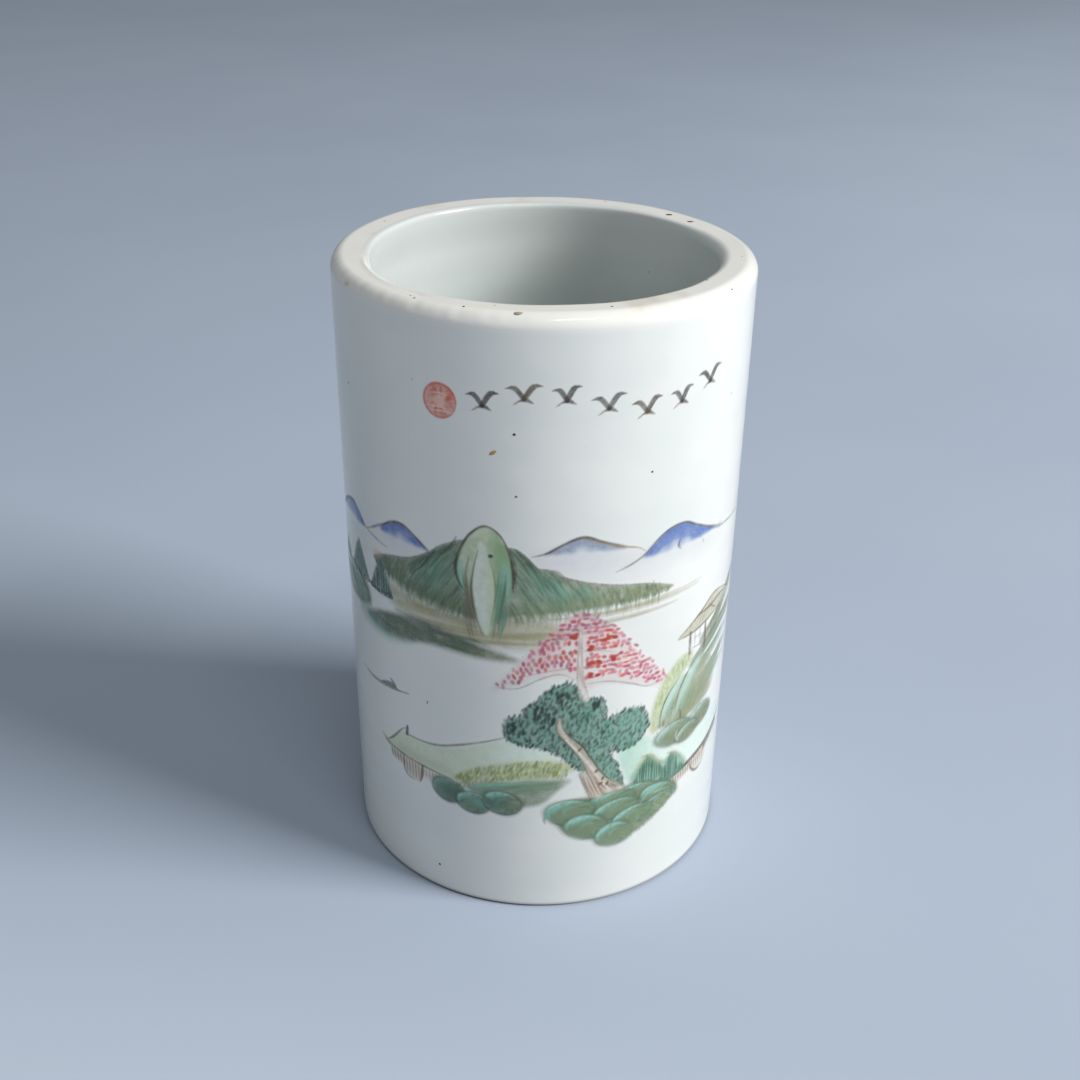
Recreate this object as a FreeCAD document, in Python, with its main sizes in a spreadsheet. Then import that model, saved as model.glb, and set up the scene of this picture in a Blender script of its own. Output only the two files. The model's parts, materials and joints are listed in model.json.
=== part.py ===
import FreeCAD, Part
import math
import os

import Sketcher

# A porcelain brush holder pot: a thick-walled cylinder, open at the top, closed by a floor and standing
# on an unglazed foot ring. It is built the way the potter and the painter build it: a thrown wall, a luted
# floor disc, a foot ring, three coats of glaze, and overglaze enamels that stand slightly proud of the glaze.
#
# Frame: +Z is the pot's axis, the origin is the middle of the circle it stands on, and the painted front
# faces -Y. A place on the painted surface is (along, up): millimetres around the wall from the middle of
# the front, positive towards +X, and millimetres above the standing surface.

DIMENSIONS = {
    "overall_height": 129.5,
    "lip_radius": 41.0,
    "base_radius": 40.55,
    "bore_radius": 33.4,
    "glaze_coat": 0.5,
    "lip_outer_round": 2.4,
    "lip_inner_round": 2.0,
    "lip_glaze_turn": 3.4,
    "floor_height": 10.5,
    "floor_round": 3.0,
    "foot_height": 3.0,
    "foot_bore_radius": 31.5,
    "foot_bevel": 0.3,
    "foot_edge_round": 0.5,
    "glaze_line": 0.4,
    "glaze_roll_round": 0.25,
    "base_glaze_coat": 0.4,
    "enamel_coat": 0.15,
    "stencil_reach": 50.0,
}

doc = FreeCAD.newDocument("BrushHolderPot")
sheet = doc.addObject("Spreadsheet::Sheet", "dims")
for row, (alias, number) in enumerate(DIMENSIONS.items(), start=1):
    sheet.set("A%d" % row, alias)
    sheet.set("B%d" % row, str(number))
    sheet.setAlias("B%d" % row, alias)
doc.recompute()


class Formula:
    """A size worked out from the sheet: its value now, and the expression that keeps it up to date."""

    def __init__(self, text, value):
        self.text = text
        self.value = value

    def __add__(self, other):
        return Formula("(%s + %s)" % (self.text, other.text), self.value + other.value)

    def __sub__(self, other):
        return Formula("(%s - %s)" % (self.text, other.text), self.value - other.value)

    def __mul__(self, other):
        return Formula("(%s * %s)" % (self.text, other.text), self.value * other.value)

    def __truediv__(self, other):
        return Formula("(%s / %s)" % (self.text, other.text), self.value / other.value)


def dim(alias):
    return Formula("dims." + alias, float(sheet.get(alias)))


AXIS = Formula("0", 0.0)
GROUND = Formula("0", 0.0)
HEIGHT = dim("overall_height")
LIP_RADIUS = dim("lip_radius")
BORE = dim("bore_radius")
GLAZE = dim("glaze_coat")
FLOOR = dim("floor_height")
FOOT_HEIGHT = dim("foot_height")
FOOT_BORE = dim("foot_bore_radius")
GLAZE_LINE = dim("glaze_line")
CLAY_BORE = BORE + GLAZE
CLAY_TOP = HEIGHT - GLAZE
CLAY_LIP_RADIUS = LIP_RADIUS - GLAZE
CLAY_FLOOR = FLOOR - GLAZE
LIP_GLAZE_END = HEIGHT - dim("lip_glaze_turn")


def glaze_radius(height):
    """Radius of the outer glaze at a height: the wall leans out very slightly from foot to lip."""
    return dim("base_radius") + (LIP_RADIUS - dim("base_radius")) * height / HEIGHT


def clay_radius(height):
    return glaze_radius(height) - GLAZE


def own_plane(body, role):
    return next(feature for feature in body.Origin.OriginFeatures if feature.Role == role)


def upright_sketch(body, name):
    """A sketch whose x runs outwards and whose y is the height, on the body's own XZ plane."""
    sketch = body.newObject("Sketcher::SketchObject", name)
    sketch.AttachmentSupport = [(own_plane(body, "XZ_Plane"), "")]
    sketch.MapMode = "FlatFace"
    return sketch


def hold_corner(sketch, line, radius, height):
    """Ties the start of a line to a radius and a height that the sheet drives."""
    for kind, formula, axis in (("DistanceX", radius, -2), ("DistanceY", height, -1)):
        if formula.value == 0.0:
            sketch.addConstraint(Sketcher.Constraint("PointOnObject", line, 1, axis))
            continue
        number = sketch.addConstraint(Sketcher.Constraint(kind, -1, 1, line, 1, formula.value))
        sketch.setExpression("Constraints[%d]" % number, formula.text)


def turned_body(label, corners):
    """A solid of revolution about the pot's axis, from the corners of its half section."""
    body = doc.addObject("PartDesign::Body", label)
    body.Label = label
    body.Placement = FreeCAD.Placement()
    sketch = upright_sketch(body, label + "_section")
    points = [FreeCAD.Vector(radius.value, height.value, 0) for radius, height in corners]
    count = len(points)
    for i in range(count):
        sketch.addGeometry(Part.LineSegment(points[i], points[(i + 1) % count]), False)
    for i in range(count):
        sketch.addConstraint(Sketcher.Constraint("Coincident", i, 2, (i + 1) % count, 1))
    for i, (radius, height) in enumerate(corners):
        hold_corner(sketch, i, radius, height)
    turn = body.newObject("PartDesign::Revolution", label + "_turned")
    turn.Profile = sketch
    turn.ReferenceAxis = (sketch, ["V_Axis"])
    turn.Angle = 360.0
    body.Tip = turn
    doc.recompute()
    return body


def ring_edge(shape, radius, height):
    """Name of the circular edge of this radius at this height."""
    tolerance = 1e-4
    for number, edge in enumerate(shape.Edges, start=1):
        curve = edge.Curve
        if not isinstance(curve, Part.Circle):
            continue
        if abs(curve.Radius - radius.value) < tolerance and abs(curve.Center.z - height.value) < tolerance:
            return "Edge%d" % number
    raise RuntimeError("no ring edge of radius %.3f at height %.3f" % (radius.value, height.value))


def round_ring(body, name, radius, height, round_radius):
    """Rounds one circular edge of a turned body."""
    before = body.Tip
    fillet = body.newObject("PartDesign::Fillet", name)
    fillet.Base = (before, [ring_edge(before.Shape, radius, height)])
    fillet.Radius = round_radius.value
    fillet.setExpression("Radius", round_radius.text)
    body.Tip = fillet
    doc.recompute()


# ---------------------------------------------------------------------------------------------------
# The potted and glazed cylinder


def make_cylinder_wall():
    body = turned_body(
        "cylinder_wall",
        [
            (CLAY_BORE, FOOT_HEIGHT),
            (clay_radius(FOOT_HEIGHT), FOOT_HEIGHT),
            (CLAY_LIP_RADIUS, CLAY_TOP),
            (CLAY_BORE, CLAY_TOP),
        ],
    )
    round_ring(body, "wall_lip_outside", CLAY_LIP_RADIUS, CLAY_TOP, dim("lip_outer_round") - GLAZE)
    round_ring(body, "wall_lip_inside", CLAY_BORE, CLAY_TOP, dim("lip_inner_round") - GLAZE)
    return body


def make_floor_disc():
    return turned_body(
        "floor_disc",
        [(AXIS, FOOT_HEIGHT), (CLAY_BORE, FOOT_HEIGHT), (CLAY_BORE, CLAY_FLOOR), (AXIS, CLAY_FLOOR)],
    )


def make_foot_ring():
    bevel = dim("foot_bevel")
    bevel_radius = clay_radius(bevel)
    body = turned_body(
        "foot_ring",
        [
            (FOOT_BORE, GROUND),
            (bevel_radius - bevel, GROUND),
            (bevel_radius, bevel),
            (clay_radius(FOOT_HEIGHT), FOOT_HEIGHT),
            (FOOT_BORE, FOOT_HEIGHT),
        ],
    )
    round_ring(body, "foot_inner_edge", FOOT_BORE, GROUND, dim("foot_edge_round"))
    return body


def make_outer_glaze():
    """The coat on the outside of the wall, over the lip and just into the mouth."""
    body = turned_body(
        "outer_glaze",
        [
            (clay_radius(GLAZE_LINE), GLAZE_LINE),
            (glaze_radius(GLAZE_LINE), GLAZE_LINE),
            (LIP_RADIUS, HEIGHT),
            (BORE, HEIGHT),
            (BORE, LIP_GLAZE_END),
            (CLAY_BORE, LIP_GLAZE_END),
            (CLAY_BORE, CLAY_TOP),
            (CLAY_LIP_RADIUS, CLAY_TOP),
        ],
    )
    outer_round = dim("lip_outer_round")
    inner_round = dim("lip_inner_round")
    round_ring(body, "glaze_lip_outside", LIP_RADIUS, HEIGHT, outer_round)
    round_ring(body, "glaze_lip_outside_back", CLAY_LIP_RADIUS, CLAY_TOP, outer_round - GLAZE)
    round_ring(body, "glaze_lip_inside", BORE, HEIGHT, inner_round)
    round_ring(body, "glaze_lip_inside_back", CLAY_BORE, CLAY_TOP, inner_round - GLAZE)
    round_ring(body, "glaze_roll", glaze_radius(GLAZE_LINE), GLAZE_LINE, dim("glaze_roll_round"))
    return body


def make_inner_glaze():
    """The coat on the inside of the wall and on the floor, pooled in the corner between them."""
    body = turned_body(
        "inner_glaze",
        [
            (AXIS, CLAY_FLOOR),
            (CLAY_BORE, CLAY_FLOOR),
            (CLAY_BORE, LIP_GLAZE_END),
            (BORE, LIP_GLAZE_END),
            (BORE, FLOOR),
            (AXIS, FLOOR),
        ],
    )
    round_ring(body, "glaze_floor_corner", BORE, FLOOR, dim("floor_round"))
    return body


def make_base_glaze():
    """The coat on the underside of the floor, inside the foot ring."""
    under = FOOT_HEIGHT - dim("base_glaze_coat")
    return turned_body(
        "base_glaze",
        [(AXIS, under), (FOOT_BORE, under), (FOOT_BORE, FOOT_HEIGHT), (AXIS, FOOT_HEIGHT)],
    )


# ---------------------------------------------------------------------------------------------------
# The enamels. Each painted group is the part of a thin shell around the glaze that its stencils cover.
# An outline is a closed run of corners (along, up, bulge): the edge from a corner to the next is an arc
# that stands out to the left of its direction by bulge times its length, or straight where bulge is 0.


def shell_cone(name, extra):
    cone = doc.addObject("Part::Cone", name)
    cone.setExpression("Radius1", (dim("base_radius") + extra).text)
    cone.setExpression("Radius2", (LIP_RADIUS + extra).text)
    cone.setExpression("Height", HEIGHT.text)
    return cone


enamel_shell = doc.addObject("Part::Cut", "enamel_shell")
enamel_shell.Base = shell_cone("enamel_face", dim("enamel_coat"))
enamel_shell.Tool = shell_cone("glaze_face", Formula("0", 0.0))
doc.recompute()


def edge_between(start, end, bulge):
    if bulge == 0:
        return Part.LineSegment(start, end)
    along = end - start
    left = FreeCAD.Vector(-along.y, along.x, 0)
    return Part.Arc(start, (start + end) * 0.5 + left * bulge, end)


def stencil(name, corners):
    """A straight cutter through the front of the shell, square to the middle of its outline."""
    radius = LIP_RADIUS.value
    middle = (min(corner[0] for corner in corners) + max(corner[0] for corner in corners)) / 2
    body = doc.addObject("PartDesign::Body", name)
    turn = FreeCAD.Rotation(FreeCAD.Vector(0, 0, 1), math.degrees(middle / radius))
    body.Placement = FreeCAD.Placement(FreeCAD.Vector(), turn)
    sketch = upright_sketch(body, name + "_outline")
    points = [FreeCAD.Vector(radius * math.sin((s - middle) / radius), up, 0) for s, up, _ in corners]
    for i, (_, _, bulge) in enumerate(corners):
        sketch.addGeometry(edge_between(points[i], points[(i + 1) % len(points)], bulge), False)
    pad = body.newObject("PartDesign::Pad", name + "_pad")
    pad.Profile = sketch
    pad.setExpression("Length", "dims.stencil_reach")
    body.Tip = pad
    return body


def together(name, pieces):
    if len(pieces) == 1:
        return pieces[0]
    fuse = doc.addObject("Part::MultiFuse", name)
    fuse.Shapes = pieces
    return fuse


def enamel(label, outlines, in_front=()):
    """One painted group, kept clear of the stencils of the groups painted in front of it."""
    stencils = [stencil("%s_%d" % (label, i), corners) for i, corners in enumerate(outlines, start=1)]
    group = doc.addObject("Part::Common", label)
    group.Base = together(label + "_stencils", stencils)
    group.Tool = enamel_shell
    node = group
    if in_front:
        node = doc.addObject("Part::Cut", label + "_trimmed")
        node.Base = group
        node.Tool = together(label + "_front", list(in_front))
    group.Label = label if node is group else label + "_whole"
    node.Label = label
    doc.recompute()
    return node, stencils


def upright_bar(along, low, high, width):
    half = width / 2
    return [(along - half, low, 0), (along + half, low, 0), (along + half, high, 0), (along - half, high, 0)]


def bird(along, up, span):
    """A bird on the wing: two curved strokes that meet at its breast."""
    half = span / 2
    body = span * 0.13
    return [
        (along - half, up + body * 2, 0.12),
        (along, up + body * 0.8, 0.12),
        (along + half, up + body * 2.6, 0),
        (along + body, up - body * 0.6, 0.2),
        (along - body, up - body * 0.7, 0),
    ]


# Outlines run clockwise as seen from outside, so a positive bulge swells outwards.

FAR_HILLS = [
    [(-54, 79.6, 0.1), (-47, 83, 0.12), (-41.5, 80.8, 0)],
    [(-35, 82.2, 0.08), (-28.6, 85.4, 0.12), (-22.5, 81.6, 0)],
    [(1, 84.2, 0.08), (8, 87.6, 0.1), (16, 84, 0)],
    [(20.5, 81.8, 0.08), (28.6, 86.2, 0.1), (42, 81, 0)],
]
MOUNTAIN_DOME = [[(-14.6, 79, 0.3), (-10.2, 89.4, 0.3), (-5.4, 79, 0.08), (-9.8, 66.6, 0.08)]]
MAIN_MOUNTAIN = [
    [
        (-37, 75.8, 0.03),
        (-27, 80.2, -0.03),
        (-10, 88, 0.04),
        (2, 80.4, -0.03),
        (27, 73.6, 0.06),
        (8, 72.2, 0),
        (-22, 71.8, 0),
        (-33, 73.6, 0),
    ]
]
CYPRESS_PAIR = [
    [(-48.6, 68.6, 0.04), (-44.2, 76.4, 0.04), (-40.2, 68.6, 0.12)],
    [(-39.2, 68, 0.04), (-35.4, 75.4, 0.04), (-31.8, 67.8, 0.12)],
]
SHORE_STROKES = [
    [(-52, 66.4, 0.12), (-40.4, 67.4, 0.08), (-40, 63, 0.1), (-44, 61.2, 0.05)],
    [(-39.4, 61.8, 0.06), (-25, 65.8, 0.02), (-4.6, 61, 0), (-20, 60.4, 0.03), (-31, 59.4, 0.1)],
]
BLOSSOM_CANOPY = [
    [
        (-8, 55.2, 0.05),
        (0, 64.4, 0.05),
        (8, 71.2, 0.05),
        (17.4, 63, 0.03),
        (25.4, 54, 0.3),
        (23.6, 52.4, 0),
        (15.6, 56.4, -0.1),
        (9, 57.4, 0),
        (0, 59.6, -0.1),
    ]
]
TREE_TRUNKS = [
    [(6.8, 65, 0), (8.2, 65, -0.03), (10.4, 53.4, 0), (7.6, 56.2, 0)],
    [(3.2, 47.4, 0), (5.4, 46.4, -0.04), (10.6, 37.4, 0.02), (18.2, 28.8, 0), (11.4, 28.9, -0.03), (8, 36, 0.03)],
]
PINE_FOLIAGE = [
    [
        (-6.4, 43.4, 0.36),
        (-5, 49, 0.3),
        (0.2, 52.2, 0.3),
        (5.8, 56.2, 0.3),
        (10.2, 52, 0.3),
        (13.8, 48, 0.3),
        (19, 47.2, 0.36),
        (23, 42.2, 0.4),
        (20.4, 38.4, 0.3),
        (16.4, 38.6, 0.04),
        (18, 31, 0.2),
        (14.4, 30.6, 0.04),
        (9.4, 38.4, 0.1),
        (4.6, 41, 0.3),
        (0.4, 41.2, 0.3),
        (-3.2, 41, 0.3),
    ]
]
FRONT_ROCKS = [
    [
        (2, 25, 0.34),
        (6.8, 28, 0.2),
        (14.4, 28.4, 0.2),
        (22, 28.6, 0.24),
        (29.4, 26.8, 0.3),
        (32.8, 22.4, 0.3),
        (26.4, 18, 0.26),
        (20.6, 14.8, 0.34),
        (13.6, 15.4, 0.3),
        (7.6, 18.8, 0.3),
        (4.2, 21.8, 0.3),
    ]
]
LEFT_ROCKS = [
    [
        (-22.4, 27.6, 0.34),
        (-18.4, 29.8, 0.14),
        (-8, 29.8, 0.1),
        (6.4, 32.6, 0.1),
        (2, 28.4, 0.1),
        (-3.4, 26.2, 0.4),
        (-9.8, 24, 0.3),
        (-17, 24.2, 0.3),
    ]
]
LEFT_BANK = [
    [(-35.4, 32.2, 0), (-30.4, 37.2, 0.02), (-18, 37, 0), (-6.6, 42, 0.1), (-3, 39, 0), (-14, 31.4, 0), (-24, 30.4, 0)]
]
HEDGES = [
    [(-17.4, 31, 0.34), (-14, 34.8, 0.1), (-6, 37.2, 0.1), (3.4, 38, 0.3), (6.8, 35.6, 0.1), (-2, 32.6, 0.05)],
    [(24.4, 43.4, 0.2), (26.2, 51, 0.2), (30.6, 55.2, 0.2), (34.4, 55.4, 0.1), (30.6, 50, -0.1), (26.4, 42.4, 0.3)],
]
RIGHT_HILLSIDE = [
    [(26.2, 44, 0.12), (31.6, 51.6, 0.1), (41, 57.4, 0.06), (52, 62, 0.06), (49, 50, 0.06), (43, 42, 0.1), (33, 41, 0.1)]
]
RIGHT_ROCKS = [[(24.8, 37.8, 0.3), (29, 40, 0.16), (37, 40.2, 0.2), (44.6, 37.8, 0.36), (40, 35, 0.2), (33, 34.6, 0.1)]]
REEDS = [[(20.6, 30, 0), (23, 34.4, 0), (26.4, 31.8, 0), (30, 32.6, 0), (33, 30, 0), (34.6, 27.4, 0), (28, 26, 0)]]
MINT_WASH = [
    [(18.8, 36.4, 0), (23.6, 37.2, 0), (24.2, 35.8, 0), (22.2, 35, 0), (19.4, 31.4, 0)],
    [(35.4, 31.4, 0), (43, 32.6, 0.04), (48.6, 32.6, 0.1), (47, 30.8, 0), (35.6, 29, 0)],
]
PAVILION = [
    [(30.4, 60.6, 0), (37.4, 63.4, -0.02), (42.4, 65.4, -0.02), (50.6, 62.4, 0), (41, 60.2, 0)],
    upright_bar(34, 55.2, 60.4, 0.7),
    upright_bar(39.2, 55, 60.3, 0.7),
]
LEFT_POSTS = [upright_bar(-33.8 + 1.9 * i, 28.6 - 0.3 * i, 31.4 - 0.18 * i, 1.1) for i in range(6)]
RIGHT_DECK = [(29.4, 26.4, 0), (49.4, 29.8, 0), (49.4, 28.6, 0), (29.4, 25.2, 0)]
RIGHT_POSTS = [upright_bar(34.8 + 3 * i, 23.6 + 0.5 * i, 26.4 + 0.5 * i, 1.1) for i in range(5)]
TIMBER_WORK = LEFT_POSTS + [RIGHT_DECK] + RIGHT_POSTS
BOAT = [
    [(-45.4, 46.2, -0.04), (-28.4, 47.4, 0), (-30, 46.2, 0.04), (-43.6, 45.2, 0)],
    [(-34.4, 46.6, 0.3), (-33.4, 48.4, 0.3), (-31.6, 46.8, 0)],
]
GEESE = [bird(-10.5 + 7.4 * i, 112.6 + 2.4 * math.sin(1.1 * i), 5.2) for i in range(7)]
SUN_CENTRE = (-18.6, 112.6)
SUN_RADIUS = 3.6
SUN = [
    [
        (SUN_CENTRE[0] - SUN_RADIUS, SUN_CENTRE[1], 0.5),
        (SUN_CENTRE[0] + SUN_RADIUS, SUN_CENTRE[1], 0.5),
    ]
]


def make_enamels():
    """Every painted group. A group is trimmed by the stencils of those that are painted over it."""
    dome, dome_stencils = enamel("mountain_dome", MOUNTAIN_DOME)
    cypresses, cypress_stencils = enamel("cypress_pair", CYPRESS_PAIR)
    mountain, mountain_stencils = enamel("main_mountain", MAIN_MOUNTAIN, dome_stencils + cypress_stencils)
    trunks, trunk_stencils = enamel("tree_trunks", TREE_TRUNKS)
    rocks, rock_stencils = enamel("front_rocks", FRONT_ROCKS, trunk_stencils)
    foliage, foliage_stencils = enamel("pine_foliage", PINE_FOLIAGE, trunk_stencils)
    hedges, hedge_stencils = enamel("hedges", HEDGES)
    pavilion, pavilion_stencils = enamel("pavilion", PAVILION, hedge_stencils)
    reeds, reed_stencils = enamel("reeds", REEDS, rock_stencils)
    timber, timber_stencils = enamel("timber_work", TIMBER_WORK, rock_stencils + reed_stencils)
    right_rocks, right_rock_stencils = enamel("right_rocks", RIGHT_ROCKS)
    over_bank = hedge_stencils + foliage_stencils + timber_stencils
    over_hillside = hedge_stencils + pavilion_stencils + right_rock_stencils
    nodes = [
        dome,
        cypresses,
        mountain,
        trunks,
        rocks,
        foliage,
        hedges,
        pavilion,
        reeds,
        timber,
        right_rocks,
    ]
    nodes.append(enamel("far_hills", FAR_HILLS, mountain_stencils)[0])
    nodes.append(enamel("shore_strokes", SHORE_STROKES, cypress_stencils)[0])
    nodes.append(enamel("blossom_canopy", BLOSSOM_CANOPY, trunk_stencils)[0])
    nodes.append(enamel("left_rocks", LEFT_ROCKS, hedge_stencils)[0])
    nodes.append(enamel("left_bank", LEFT_BANK, over_bank)[0])
    nodes.append(enamel("right_hillside", RIGHT_HILLSIDE, over_hillside)[0])
    nodes.append(enamel("mint_wash", MINT_WASH)[0])
    nodes.append(enamel("boat", BOAT)[0])
    nodes.append(enamel("geese", GEESE)[0])
    nodes.append(enamel("sun_disc", SUN)[0])
    return nodes


sub_parts = [
    make_cylinder_wall(),
    make_floor_disc(),
    make_foot_ring(),
    make_outer_glaze(),
    make_inner_glaze(),
    make_base_glaze(),
]
sub_parts += make_enamels()

doc.recompute()
for item in doc.Objects:
    if "Invalid" in item.State or "Error" in item.State:
        raise RuntimeError("%s has failed: %s" % (item.Label, item.State))
for part in sub_parts:
    if part.Shape.isNull() or not part.Shape.isValid() or not part.Shape.Solids:
        raise RuntimeError("%s has no valid solid" % part.Label)

os.makedirs("parts", exist_ok=True)
for part in sub_parts:
    part.Shape.exportStep("parts/%s.step" % part.Label)
    box = part.Shape.BoundBox
    print(
        "%-16s %2d solids  %10.2f mm3  x %.1f..%.1f  y %.1f..%.1f  z %.1f..%.1f"
        % (
            part.Label, len(part.Shape.Solids), part.Shape.Volume,
            box.XMin, box.XMax, box.YMin, box.YMax, box.ZMin, box.ZMax,
        )
    )
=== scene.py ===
"""The brush holder pot: thick white porcelain under a faintly blue-green glaze, with a landscape painted
around its front in overglaze enamels. Lengths are worked out in millimetres and turned into metres when
a mesh is made. A place on the wall is (along, up): the way around the wall from the middle of the front,
positive towards +X, and the height above the standing surface. Colours are red, green and blue, each
from 0 to 255, as they look on the screen."""

import json
import math

import bmesh
import bpy
import numpy as np
from mathutils import Matrix, Vector


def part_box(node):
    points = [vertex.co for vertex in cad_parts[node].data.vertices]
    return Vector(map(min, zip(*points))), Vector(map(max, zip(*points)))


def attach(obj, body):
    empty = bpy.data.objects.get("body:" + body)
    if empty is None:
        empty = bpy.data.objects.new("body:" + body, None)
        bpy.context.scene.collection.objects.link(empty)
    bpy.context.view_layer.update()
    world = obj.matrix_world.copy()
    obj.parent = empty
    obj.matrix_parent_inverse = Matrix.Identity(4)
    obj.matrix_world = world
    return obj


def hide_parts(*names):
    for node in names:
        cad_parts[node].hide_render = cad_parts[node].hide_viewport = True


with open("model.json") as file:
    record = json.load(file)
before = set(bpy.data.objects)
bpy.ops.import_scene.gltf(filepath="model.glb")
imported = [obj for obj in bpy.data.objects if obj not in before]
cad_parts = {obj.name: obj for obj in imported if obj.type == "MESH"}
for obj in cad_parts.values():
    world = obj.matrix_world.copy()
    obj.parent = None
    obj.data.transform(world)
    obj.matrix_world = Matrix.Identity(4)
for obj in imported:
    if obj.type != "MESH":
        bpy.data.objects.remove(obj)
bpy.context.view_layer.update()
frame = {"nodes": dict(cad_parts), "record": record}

MM = 0.001
rng = np.random.default_rng(41)


def cad_high(node):
    return np.array(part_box(node)[1]) / MM


def cad_low(node):
    return np.array(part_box(node)[0]) / MM


# ---------------------------------------------------------------------------------------------------
# Sizes, all read from the frame

HEIGHT = cad_high("outer_glaze")[2]
LIP_RADIUS = cad_high("outer_glaze")[0]
COAT = HEIGHT - cad_high("cylinder_wall")[2]
BORE = cad_high("floor_disc")[0] - COAT
FLOOR = cad_high("floor_disc")[2] + COAT
FOOT_HEIGHT = cad_high("foot_ring")[2]
FOOT_RADIUS = cad_high("foot_ring")[0]
FOOT_BORE = cad_high("base_glaze")[0]
GLAZE_LINE = cad_low("outer_glaze")[2]
GLAZE_JOIN = cad_high("inner_glaze")[2]
LEAN = (LIP_RADIUS - FOOT_RADIUS - COAT) / (HEIGHT - FOOT_HEIGHT)
WALL_THICKNESS = LIP_RADIUS - BORE
LIP_OUTER_ROUND = 0.34 * WALL_THICKNESS
LIP_INNER_ROUND = 0.28 * WALL_THICKNESS
FOOT_EDGE = 0.06 * FOOT_HEIGHT


def smoothstep(x, low, high):
    t = np.clip((x - low) / (high - low), 0, 1)
    return t * t * (3 - 2 * t)


def wall_wobble(angle, up):
    """The slight unevenness of a hand-turned wall."""
    slow = 0.07 * np.sin(2 * angle + 0.9) + 0.04 * np.sin(3 * angle - 1.2 + 0.01 * up)
    rings = 0.012 * np.sin(up * 0.9 + 1.5 * np.sin(angle)) + 0.01 * np.sin(up * 0.37 - angle)
    return slow + rings


def wall_radius(angle, up):
    return LIP_RADIUS - LEAN * (HEIGHT - up) + wall_wobble(angle, up)


def wall_point(along, up, lift):
    """Where a place on the wall is, lifted off the glaze by so much."""
    angle = along / LIP_RADIUS
    radius = wall_radius(angle, up) + lift
    return np.stack([radius * np.sin(angle), -radius * np.cos(angle), up + 0 * radius], -1)


# ---------------------------------------------------------------------------------------------------
# The painter's canvas: the front of the wall unrolled, as arrays of colour, cover, relief and gloss

PIXELS_PER_MM = 10
ALONG_MIN, ALONG_MAX = -84.0, 84.0
UP_MIN, UP_MAX = 10.0, 122.0
OWNED_FROM = 0.3
SEEN_FROM = 0.004


def linear(colour):
    c = np.asarray(colour, float)
    return np.where(c <= 0.04045, c / 12.92, ((c + 0.055) / 1.055) ** 2.4)


def box_blur(a, reach):
    n = max(1, int(round(reach)))
    for axis in (0, 1):
        pad = [(0, 0)] * a.ndim
        pad[axis] = (n + 1, n)
        total = np.cumsum(np.pad(a, pad, mode="edge"), axis=axis)
        size = a.shape[axis]
        high = np.take(total, np.arange(2 * n + 1, 2 * n + 1 + size), axis=axis)
        low = np.take(total, np.arange(0, size), axis=axis)
        a = (high - low) / (2 * n + 1)
    return a


def soften(a, reach):
    """About a Gaussian blur of this reach in pixels."""
    for _ in range(2):
        a = box_blur(a, reach)
    return a


class Canvas:
    """The painted wall as arrays: premultiplied colour, cover, relief, mattness and the owning group."""

    def __init__(self):
        self.shape = (int((UP_MAX - UP_MIN) * PIXELS_PER_MM), int((ALONG_MAX - ALONG_MIN) * PIXELS_PER_MM))
        self.ink = np.zeros(self.shape + (3,), np.float32)
        self.cover = np.zeros(self.shape, np.float32)
        self.relief = np.zeros(self.shape, np.float32)
        self.matt = np.zeros(self.shape, np.float32)
        self.owner = np.zeros(self.shape, np.int16)
        self.grain = self.make_grain()
        self.groups = []
        self.move = (0.0, 0.0)

    def make_grain(self):
        fine = soften(rng.random(self.shape), 1)
        broad = soften(rng.random(self.shape), 6)
        grain = (fine - fine.mean()) / fine.std() * 0.6 + (broad - broad.mean()) / broad.std() * 0.7
        return np.clip(0.5 + 0.25 * grain, 0, 1).astype(np.float32)

    def begin(self, node, drawn_at):
        """What is painted from now on belongs to this CAD node, and moves with it."""
        self.groups.append(node)
        mesh = frame["nodes"][node].data
        places = np.array([v.co for v in mesh.vertices]) / MM
        along = np.arctan2(places[:, 0], -places[:, 1]) * LIP_RADIUS
        middle = ((along.min() + along.max()) / 2, (places[:, 2].min() + places[:, 2].max()) / 2)
        self.move = (middle[0] - drawn_at[0], middle[1] - drawn_at[1])

    def window(self, points, margin):
        """The part of the arrays around some points, and the place of each of its pixels."""
        low = points.min(0) - margin
        high = points.max(0) + margin
        c0 = max(0, int((low[0] - ALONG_MIN) * PIXELS_PER_MM))
        c1 = min(self.shape[1], int((high[0] - ALONG_MIN) * PIXELS_PER_MM) + 2)
        r0 = max(0, int((low[1] - UP_MIN) * PIXELS_PER_MM))
        r1 = min(self.shape[0], int((high[1] - UP_MIN) * PIXELS_PER_MM) + 2)
        along = ALONG_MIN + (np.arange(c0, c1) + 0.5) / PIXELS_PER_MM
        up = UP_MIN + (np.arange(r0, r1) + 0.5) / PIXELS_PER_MM
        return (slice(r0, r1), slice(c0, c1)), *np.meshgrid(along, up)

    def lay(self, window, amount, colour, thick, matt):
        """Paint over what is there, by an amount from 0 to 1 for each pixel."""
        colour = np.asarray(colour, np.float32) / 255
        amount = np.clip(amount, 0, 1).astype(np.float32)
        keep = 1 - amount
        self.ink[window] = self.ink[window] * keep[..., None] + colour * amount[..., None]
        self.cover[window] = 1 - (1 - self.cover[window]) * keep
        self.relief[window] += amount * thick
        self.matt[window] = self.matt[window] * keep + matt * amount
        own = self.owner[window]
        own[(amount > OWNED_FROM) | ((amount > SEEN_FROM) & (own == 0))] = len(self.groups)

    def placed(self, points):
        return np.asarray(points, float) + self.move


canvas = Canvas()
HAIR_COUNT = 600
HAIR_PITCH = 0.13
BRISTLES = np.convolve(rng.random(HAIR_COUNT), np.ones(3) / 3, mode="same")
STROKE_OPENING, STROKE_CLOSING = 3.2, 2.4
FAR_AWAY = 1e9


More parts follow.
